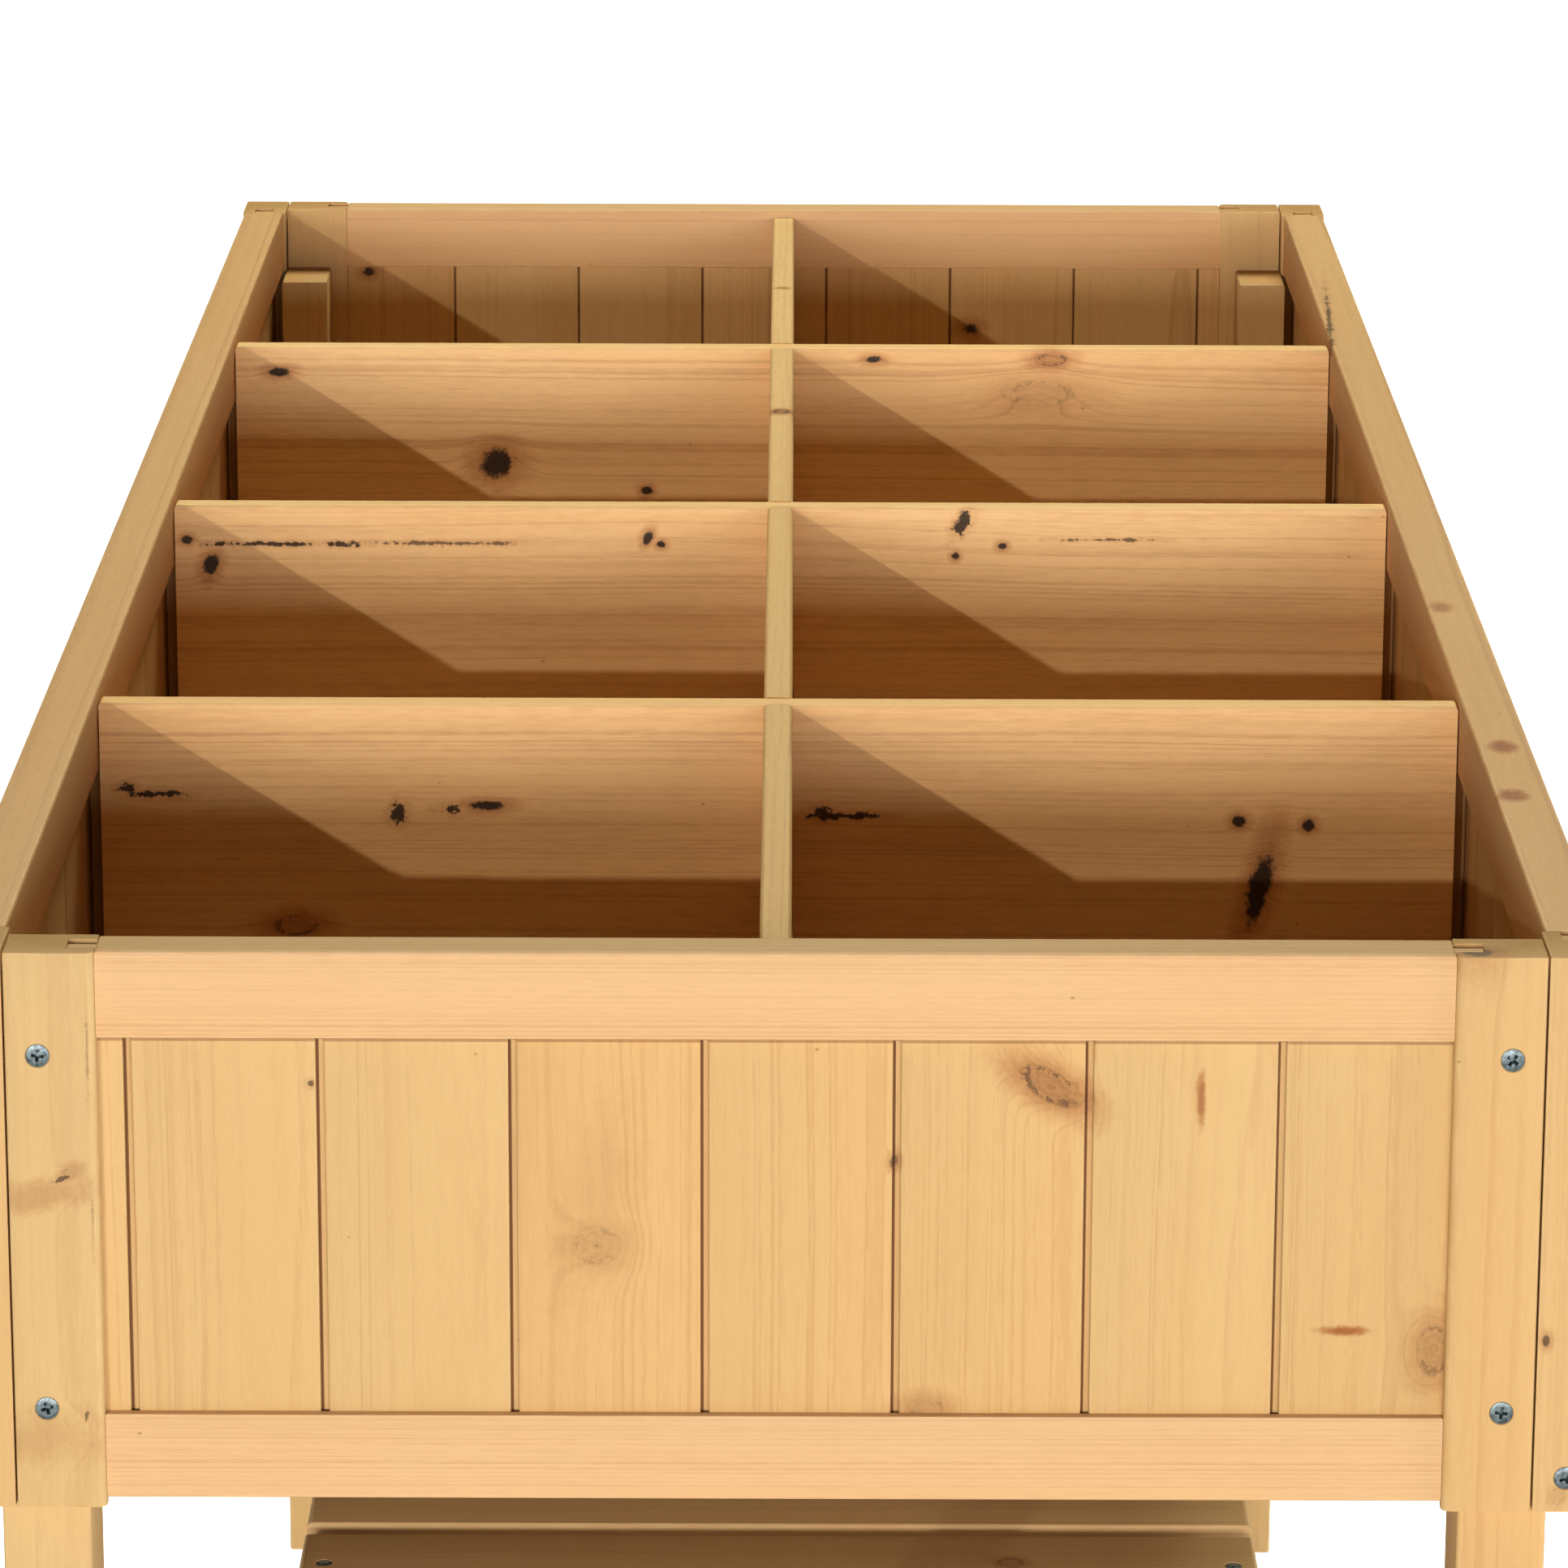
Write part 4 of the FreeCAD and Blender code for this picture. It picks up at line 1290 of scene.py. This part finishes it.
@dataclass
class Dividers:
    """The long divider and the three cross dividers, halved over it."""

    shop: Workshop
    thickness: float = 9 * MM
    clearance: float = 0.3 * MM
    end_round: float = 1.6 * MM
    edge_round: float = 0.9 * MM
    crossings: tuple[str, ...] = ("front", "middle", "back")
    knots: dict[str, tuple[Knot, ...]] = field(default_factory=dict)

    def board(self, name: str, along: Axis) -> Timber:
        """Shape a divider's blank, with its upper edge and its ends eased.

        Args:
            name: The CAD node it stands for.
            along: The way it runs.

        Returns:
            The blank.
        """
        timber = Timber(f"{name}_board", *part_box(name))
        low, high, axis = timber.low, timber.high, along.value
        timber.round_edges(lambda p: at(p.z, high.z) and at(p[axis], low[axis], high[axis]),
                           self.end_round, 4)
        timber.round_edges(lambda p: at(p.z, high.z), self.edge_round, 4)
        return timber

    def build(self) -> None:
        """Make the four dividers, each on its own body."""
        centre = self.board("centre_divider", Axis.Y)
        middle_height = (centre.low.z + centre.high.z) / 2
        half = self.thickness / 2
        for place in self.crossings:
            name = f"cross_divider_{place}"
            low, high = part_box(name)
            centre.cut_box((-half - MM, low[1] - self.clearance, middle_height),
                           (half + MM, high[1] + self.clearance, centre.high.z + MM))
            cross = self.board(name, Axis.X)
            notch = half + self.clearance
            cross.cut_box((-notch, low[1] - MM, low[2] - MM),
                          (notch, high[1] + MM, middle_height + self.clearance))
            piece = cross.grow(Axis.X, Axis.Y, name)
            finish = replace(self.shop.divider, name=f"{name}_wood", knots=self.knots.get(place, ()))
            dress(piece, self.shop.wood(finish), Slot.DIVIDER, name, name)
        piece = centre.grow(Axis.Y, Axis.X, "centre_divider")
        finish = replace(self.shop.divider, name="centre_divider_wood", knots=self.knots.get("centre", ()),
                         contrast=0.4, early=srgb(228, 190, 138))
        dress(piece, self.shop.wood(finish), Slot.DIVIDER, "centre_divider", "centre_divider")


@dataclass
class InnerTimbers:
    """Battens behind the cross dividers, the ledgers and the floor boards they carry."""

    shop: Workshop
    notch_x: float = 192 * MM
    notch_y: float = 499 * MM
    batten_round: float = 1.0 * MM
    ledger_round: float = 0.8 * MM
    floor_round: float = 1.2 * MM

    def strip(self, name: str, along: Axis, face: Axis, radius: float) -> None:
        """Make a plain strip with soft arrises and its screws' countersinks.

        Args:
            name: The CAD node it stands for.
            along: The way it runs.
            face: The way its broad face looks.
            radius: How far its arrises are rounded.
        """
        timber = Timber(f"{name}_strip", *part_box(name))
        timber.round_along(along, radius)
        timber.drill(self.shop.all_screws())
        dress(timber.grow(along, face, name), self.shop.wood(self.shop.inner), Slot.INNER,
              "planter", name)

    def floor(self, total: int = 10, width: float = 102 * MM) -> None:
        """Lay the floor boards, with the end ones notched round the legs.

        Args:
            total: How many there are.
            width: How wide each is.
        """
        low, high = (Vector(corner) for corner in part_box("floor_boards"))
        step = (high.y - low.y - width) / (total - 1)
        boards = []
        for number in range(total):
            start = low.y + step * number
            board = Timber(f"floor_board_{number}", (low.x, start, low.z),
                           (high.x, start + width, high.z))
            board.round_along(Axis.X, self.floor_round)
            if number in (0, total - 1):
                way = -1 if number == 0 else 1
                ends = sorted((way * self.notch_y, way * (high.y + MM)))
                for side in (-1, 1):
                    across = sorted((side * self.notch_x, side * (high.x + MM)))
                    board.cut_box((across[0], ends[0], low.z - MM), (across[1], ends[1], high.z + MM))
            board.drill(self.shop.screws["floor_screws"])
            boards.append(board.grow(Axis.X, Axis.Z, f"floor{number}"))
        dress(join("floor_board_run", boards), self.shop.wood(self.shop.inner), Slot.INNER, "planter",
              "floor_boards")

    def build(self) -> None:
        """Make the battens, the ledgers and the floor."""
        for side in ("left", "right"):
            for place in ("front", "middle", "back"):
                self.strip(f"{side}_batten_{place}", Axis.Z, Axis.X, self.batten_round)
            self.strip(f"{side}_floor_ledger", Axis.Y, Axis.X, self.ledger_round)
        self.floor()


@dataclass
class Shelf:
    """The slatted shelf and the two rails that carry it."""

    shop: Workshop
    slat_total: int = 13
    slat_round: float = 2.5 * MM
    slat_end_round: float = 0.4 * MM
    rail_round: float = 1.2 * MM
    knots: tuple[Knot, ...] = ()

    def build(self) -> None:
        """Make the rails and the slats."""
        for side in ("left", "right"):
            name = f"{side}_shelf_rail"
            rail = Timber(f"{name}_bar", *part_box(name))
            rail.round_along(Axis.Y, self.rail_round)
            rail.drill(self.shop.all_screws())
            dress(rail.grow(Axis.Y, Axis.X, name), self.shop.wood(self.shop.inner), Slot.FRAME,
                  "planter", name)
        finish = replace(self.shop.slat, name="knotty_slat_wood", knots=self.knots)
        for number in range(1, self.slat_total + 1):
            name = f"shelf_slat_{number:02d}"
            slat = Timber(f"{name}_board", *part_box(name))
            low, high = slat.low, slat.high
            slat.round_edges(lambda p: at(p.z, high.z) and at(p.y, low.y, high.y), self.slat_round, 5)
            slat.round_edges(lambda p: at(p.x, low.x, high.x), self.slat_end_round, 2)
            slat.drill(self.shop.screws["shelf_screws"])
            dress(slat.grow(Axis.X, Axis.Z, name), self.shop.wood(finish), Slot.SHELF, "planter", name)


@dataclass
class Screws:
    """Countersunk cross-recessed screws, modelled once for each length and copied."""

    shop: Workshop
    head_radius: float = 3.35 * MM
    head_depth: float = 2.4 * MM
    shank_radius: float = 1.6 * MM
    tip: float = 3 * MM
    sunk: float = 0.08 * MM
    sides: int = 20
    wing_half: tuple[float, float] = (2.1 * MM, 0.52 * MM)
    wing_depth: float = 2.0 * MM
    wing_above: float = 0.5 * MM
    wing_taper: Triple = (0.4, 0.7, 1.0)
    tip_taper: Triple = (0.15, 0.15, 1.0)
    head_round: float = 0.22 * MM

    def recess(self, turn: float) -> bpy.types.Object:
        """Shape one tapered wing of the cross recess.

        Args:
            turn: Its turn round the screw's axis, in radians.

        Returns:
            The wing.
        """
        half_length, half_width = self.wing_half
        wing = Timber("wing", (-half_length, -half_width, -self.wing_depth),
                      (half_length, half_width, self.wing_above))
        wing.pick("VERT", lambda vertex: vertex.co.z < 0)
        bpy.ops.transform.resize(value=self.wing_taper, center_override=(0.0, 0.0, 0.0))
        bpy.ops.object.mode_set(mode="OBJECT")
        wing.object.data.transform(Matrix.Rotation(turn, 4, "Z"))
        return wing.object

    def pattern(self, length: float) -> bpy.types.Object:
        """Model one screw that hangs down from the origin.

        Args:
            length: From its head's face to its tip.

        Returns:
            The screw.
        """
        bpy.ops.object.select_all(action="DESELECT")
        bpy.ops.mesh.primitive_cone_add(vertices=self.sides, radius1=self.shank_radius,
                                        radius2=self.head_radius, depth=self.head_depth,
                                        location=(0.0, 0.0, -self.head_depth / 2 - self.sunk))
        bpy.ops.object.transform_apply(location=True, rotation=True, scale=True)
        screw = Timber.of(bpy.context.active_object)
        screw.round_edges(lambda p: at(p.z, -self.sunk), self.head_round, 2)
        bottom = -self.head_depth - self.sunk
        down = Axis.Z.vector(-1.0)
        screw.push(down, lambda p: at(p.z, bottom), length - self.head_depth - self.tip)
        screw.push(down, lambda p: p.z < bottom - MM, self.tip - self.sunk)
        only(screw.object)
        bpy.ops.object.mode_set(mode="EDIT")
        bpy.ops.transform.resize(value=self.tip_taper, center_override=(0.0, 0.0, 0.0))
        bpy.ops.object.mode_set(mode="OBJECT")
        screw.cut(self.recess(0.0))
        screw.cut(self.recess(math.pi / 2))
        only(screw.object)
        bpy.ops.object.shade_smooth_by_angle(angle=SMOOTH_ANGLE)
        return screw.object

    def build(self) -> None:
        """Drive every screw of every group."""
        material = ZincFinish().build()
        for node, places in self.shop.screws.items():
            draw = random.Random(node)
            pattern = self.pattern(places[0].length)
            driven = []
            for place in places:
                only(pattern)
                bpy.ops.object.duplicate()
                screw = bpy.context.active_object
                turn = Matrix.Rotation(draw.uniform(0.0, math.pi), 4, "Z")
                aim = place.drive.to_track_quat("-Z", "Y").to_matrix().to_4x4()
                screw.data.transform(Matrix.Translation(place.head) @ aim @ turn)
                driven.append(screw)
            bpy.data.objects.remove(pattern, do_unlink=True)
            dress(join(f"{node}_driven", driven), material, Slot.SCREW, "planter", node)


# ---------------------------------------------------------------- knots

def face_knots(depth: float, normal: Axis, *rows: tuple) -> tuple[Knot, ...]:
    """Knots on a face that stands across an axis.

    Args:
        depth: Where the face stands along that axis, in millimetres.
        normal: The axis.
        rows: For each knot its two places on the face, its two half sizes, its flaw, and
            optionally its turn in degrees, its push on the grain and its strength.

    Returns:
        The knots.
    """
    knots = []
    for first, second, half_first, half_second, flaw, *more in rows:
        turn, swell, strength = (*more, *(0.0, 1.0, 1.0)[len(more):])
        if normal is Axis.Y:
            centre, size, turned = (first, depth, second), (half_first, 7.0, half_second), (0.0, turn, 0.0)
        elif normal is Axis.X:
            centre, size, turned = (depth, first, second), (7.0, half_first, half_second), (turn, 0.0, 0.0)
        else:
            centre, size, turned = (first, second, depth), (half_first, half_second, 7.0), (0.0, 0.0, turn)
        knots.append(Knot(centre, size, flaw, turned, swell, strength))
    return tuple(knots)


DIVIDER_KNOTS = {
    "front": face_knots(
        -273.0, Axis.Y,
        (-196, 567.4, 8, 1.0, Flaw.CRACK), (-205, 569, 3, 1.4, Flaw.CRACK),
        (-119, 562, 2.0, 3.2, Flaw.CRACK, 20), (-103, 562.5, 3.4, 1.6, Flaw.CRACK),
        (-91, 564, 5.6, 1.7, Flaw.DEAD), (-151.8, 524.5, 7, 3.4, Flaw.SOUND, 0, 1.2, 1.3),
        (20, 561, 9, 1.0, Flaw.CRACK), (14, 562, 2.4, 1.8, Flaw.CRACK),
        (144.9, 559.6, 2.4, 2.2, Flaw.DEAD), (166.6, 558.1, 2.0, 1.9, Flaw.DEAD),
        (151.4, 537.5, 3.6, 15, Flaw.DEAD, 14, 0.6)),
    "middle": face_knots(
        -4.5, Axis.Y,
        (-178, 583.1, 24, 0.8, Flaw.CRACK), (-120, 583.6, 24, 0.7, Flaw.CRACK, 0, 1, 0.8),
        (-208.4, 584.5, 2.2, 1.6, Flaw.DEAD), (-200, 575.2, 2.6, 4.2, Flaw.DEAD, 20),
        (-46.6, 585.9, 1.6, 2.6, Flaw.DEAD, 25), (-41.7, 583.3, 1.8, 1.4, Flaw.DEAD),
        (63.1, 590.6, 1.8, 4.8, Flaw.CRACK, 28), (78, 583.1, 1.7, 1.4, Flaw.DEAD),
        (61.5, 579.5, 1.5, 1.4, Flaw.DEAD), (112, 585.5, 15, 0.6, Flaw.CRACK, 0, 1, 0.8)),
    "back": face_knots(
        264.0, Axis.Y,
        (-195.3, 586.9, 4.2, 2.0, Flaw.DEAD), (-111.3, 551, 7.2, 6.2, Flaw.DEAD, 0, 1.3),
        (-52.7, 540.1, 2.4, 1.8, Flaw.DEAD), (35.1, 592.5, 3.4, 1.6, Flaw.DEAD),
        (104.5, 592.7, 6.2, 2.6, Flaw.SOUND, 0, 1.0, 1.3), (100, 579.2, 14, 5, Flaw.SOUND, 0, 1.6, 0.6)),
    "centre": face_knots(
        597.0, Axis.Z,
        (0.0, 150.0, 3.4, 3.4, Flaw.SOUND, 0, 0.6, 1.8), (0.3, 381, 2.0, 1.6, Flaw.STAIN)),
}

FRONT_BOARD_KNOTS = face_knots(
    -545.0, Axis.Y,
    (-49.4, 514.1, 6.5, 5.6, Flaw.SOUND, 0, 1.8, 0.55), (-49.4, 514.1, 0.7, 0.6, Flaw.SPECK, 0, 0.5, 0.5),
    (75.8, 561.0, 9.5, 4.2, Flaw.SOUND, 32, 1.6, 1.35), (82.0, 556.5, 2.2, 0.8, Flaw.SPECK, 30, 0.5, 0.55),
    (-50.0, 527.0, 6.0, 16.0, Flaw.STAIN, 12, 0.4, 0.16),
    (33.0, 538.8, 1.5, 2.0, Flaw.DEAD, 0, 1.0, 0.6), (117.5, 557.2, 0.7, 4.2, Flaw.STAIN, 0, 0.5, 1.0),
    (158.3, 489.7, 4.0, 0.8, Flaw.STAIN, 0, 0.5, 1.2), (183.5, 483.8, 4.5, 7.5, Flaw.SOUND, 0, 1.2, 0.9),
    (42.2, 466.4, 5.0, 3.0, Flaw.SOUND, 0, 0.8, 0.7), (-127.9, 561.1, 0.9, 0.9, Flaw.SPECK))

FAR_BOARD_KNOTS = face_knots(
    537.0, Axis.Y,
    (-177.3, 571.9, 3.0, 2.2, Flaw.DEAD), (80, 548, 4.2, 3.0, Flaw.DEAD))

STILE_KNOTS = {
    "front_stile_left": face_knots(
        -550.0, Axis.Y,
        (-196.3, 535.0, 2.3, 0.55, Flaw.CRACK, -28, 2.6, 0.8),
        (-194.5, 536.5, 2.6, 1.6, Flaw.SOUND, -28, 1.0, 0.8),
        (-204.0, 529.5, 9.5, 2.4, Flaw.STAIN, -10, 1.2, 0.42),
        (-191.5, 465.0, 0.5, 2.6, Flaw.CRACK, 8, 0.4, 0.7),
        (-203.0, 459.0, 10.0, 5.0, Flaw.STAIN, 0, 0.6, 0.3),
        (-188.8, 572.0, 0.35, 9.0, Flaw.CRACK, 0, 0.2, 0.35),
        (-188.4, 520.0, 0.3, 6.0, Flaw.CRACK, 0, 0.2, 0.3)),
    "front_stile_right": face_knots(
        600.0, Axis.Z, (192.3, -545.0, 5.0, 3.5, Flaw.DEAD, 0, 1.0, 0.7)),
}

RIGHT_KNOTS = {
    "right_top_rail": face_knots(
        600.0, Axis.Z,
        (220.6, -331.3, 2.3, 4.0, Flaw.STAIN, 0, 1.0, 1.2), (218.5, -386, 2.4, 4.0, Flaw.STAIN, 0, 1.0, 1.2),
        (217.4, -157.4, 2.0, 4.5, Flaw.STAIN, 0, 1.0, 0.8), (215.8, 310, 1.0, 50, Flaw.CRACK, -3, 0.2, 0.8)),
    "right_stile_front": face_knots(
        -550.0, Axis.Y,
        (214.2, 488.8, 1.3, 1.8, Flaw.DEAD, 0, 1.0, 0.8), (219.0, 442.8, 2.0, 2.6, Flaw.SOUND, 0, 1.0, 0.4)),
}

SLAT_KNOTS = face_knots(106.0, Axis.Z, (93.3, 227.9, 5.5, 5.0, Flaw.SOUND, 0, 1.2, 0.9))


# ---------------------------------------------------------------- studio

@dataclass(frozen=True)
class SoftBox:
    """A rectangular soft light: its place, what it looks at, its size, its power and its tint."""

    name: str
    place: Triple
    aim: Triple
    size: tuple[float, float]
    power: float
    tint: Triple

    def build(self) -> None:
        """Hang the light."""
        bpy.ops.object.light_add(type="AREA", location=self.place)
        lamp = bpy.context.active_object
        lamp.name = self.name
        lamp.data.shape = "RECTANGLE"
        lamp.data.size, lamp.data.size_y = self.size
        lamp.data.energy = self.power
        lamp.data.color = self.tint
        way = Vector(self.aim) - Vector(self.place)
        lamp.rotation_euler = way.to_track_quat("-Z", "Y").to_euler()


@dataclass
class Studio:
    """The floor, the light and the camera."""

    camera_place: Triple = (0.00454, -2.32846, 1.14562)
    pitch: float = 15.6135
    yaw: float = 0.0738
    roll: float = 0.1613
    lens: float = 156.267
    light_way: Triple = (1.6, 4.37, -1.0)
    sun_strength: float = 0.55
    sky_strength: float = 0.015
    sun_angle: float = 0.5
    sun_tint: Triple = (1.0, 0.93, 0.76)
    sky_tint: Colour = (1.0, 0.98, 0.92, 1.0)
    sensor: float = 36.0
    sight: float = 200.0
    floor_half: float = 30.0
    floor_drop: float = 0.3 * MM
    floor_glow: float = 0.13
    floor_seen_glow: float = 0.85
    boxes: tuple[SoftBox, ...] = (
        SoftBox("front_box", (-0.6, -12.0, 1.4), (0.0, 0.0, 0.6), (12.0, 2.0), 1330.0, (1.0, 0.985, 0.91)),
        SoftBox("top_box", (0.2, 2.1, 3.6), (0.0, 0.0, 0.6), (1.6, 1.2), 128.0, (0.99, 1.0, 0.72)),
        SoftBox("low_fill", (4.5, -1.2, 0.25), (0.2, -0.2, 0.25), (1.6, 0.5), 105.0, (1.0, 0.98, 0.92)))

    def build(self) -> None:
        """Set the stage."""
        scene = bpy.context.scene
        scene.view_settings.view_transform = "Standard"
        scene.view_settings.look = "None"
        self.floor()
        self.lights()
        self.camera()

    def floor(self) -> None:
        """A plain pale floor that fades to white."""
        bpy.ops.object.select_all(action="DESELECT")
        bpy.ops.mesh.primitive_plane_add(size=2 * self.floor_half, location=(0.0, 0.0, -self.floor_drop))
        bpy.ops.object.transform_apply(location=True, rotation=True, scale=True)
        plane = bpy.context.active_object
        plane.name = "studio_floor"
        material, g, shader = paint("studio_floor_paint")
        for name, value in (("Base Color", (0.85, 0.85, 0.85, 1.0)), ("Roughness", 0.9),
                            ("Specular IOR Level", 0.0), ("Emission Color", (1.0, 1.0, 1.0, 1.0))):
            g.feed(shader.inputs[name], value)
        seen = g.add("ShaderNodeLightPath").outputs["Is Camera Ray"]
        g.feed(shader.inputs["Emission Strength"],
               g.math("MULTIPLY_ADD", seen, self.floor_seen_glow, self.floor_glow))
        plane.data.materials.append(material)

    def lights(self) -> None:
        """A low key from the front left, a low soft box in front, another above, and a faint sky."""
        bpy.ops.object.light_add(type="SUN", location=(-1.5, -4.0, 1.5))
        sun = bpy.context.active_object
        sun.name = "key_light"
        sun.rotation_euler = Vector(self.light_way).to_track_quat("-Z", "Y").to_euler()
        sun.data.energy = self.sun_strength
        sun.data.angle = math.radians(self.sun_angle)
        sun.data.color = self.sun_tint
        for box in self.boxes:
            box.build()
        world = bpy.data.worlds.new("studio")
        bpy.context.scene.world = world
        world.use_nodes = True
        sky = next(n for n in world.node_tree.nodes if n.type == "BACKGROUND")
        sky.inputs["Color"].default_value = self.sky_tint
        sky.inputs["Strength"].default_value = self.sky_strength

    def camera(self) -> None:
        """The camera, a long lens looking down the box from in front."""
        bpy.ops.object.camera_add(location=self.camera_place)
        camera = bpy.context.active_object
        camera.name = "main_camera"
        turn = (Matrix.Rotation(math.radians(self.yaw), 3, "Z")
                @ Matrix.Rotation(math.radians(90.0 - self.pitch), 3, "X")
                @ Matrix.Rotation(math.radians(self.roll), 3, "Z"))
        camera.rotation_euler = turn.to_euler()
        camera.data.lens = self.lens
        camera.data.sensor_width = self.sensor
        camera.data.clip_end = self.sight
        bpy.context.scene.camera = camera


def main() -> None:
    """Build the planter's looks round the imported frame."""
    logging.basicConfig(level=logging.INFO, format="%(name)s: %(message)s")
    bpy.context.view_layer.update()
    shop = Workshop()
    end_wall = {"outer": 0.55, "half_opening": 186.5 * MM, "first_strip": 9.3 * MM, "shop": shop}
    side_wall = {"outer": 0.23, "half_opening": 525 * MM, "first_strip": 16 * MM, "shop": shop}
    Wall(Side.FRONT, board_knots=FRONT_BOARD_KNOTS, piece_knots=STILE_KNOTS, **end_wall).build()
    Wall(Side.BACK, board_knots=FAR_BOARD_KNOTS, **end_wall).build()
    Wall(Side.LEFT, **side_wall).build()
    Wall(Side.RIGHT, piece_knots=RIGHT_KNOTS, **side_wall).build()
    Legs(shop).build()
    Dividers(shop, knots=DIVIDER_KNOTS).build()
    InnerTimbers(shop).build()
    Shelf(shop, knots=SLAT_KNOTS).build()
    Screws(shop).build()
    Studio().build()


if __name__ == "__main__":
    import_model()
    main()
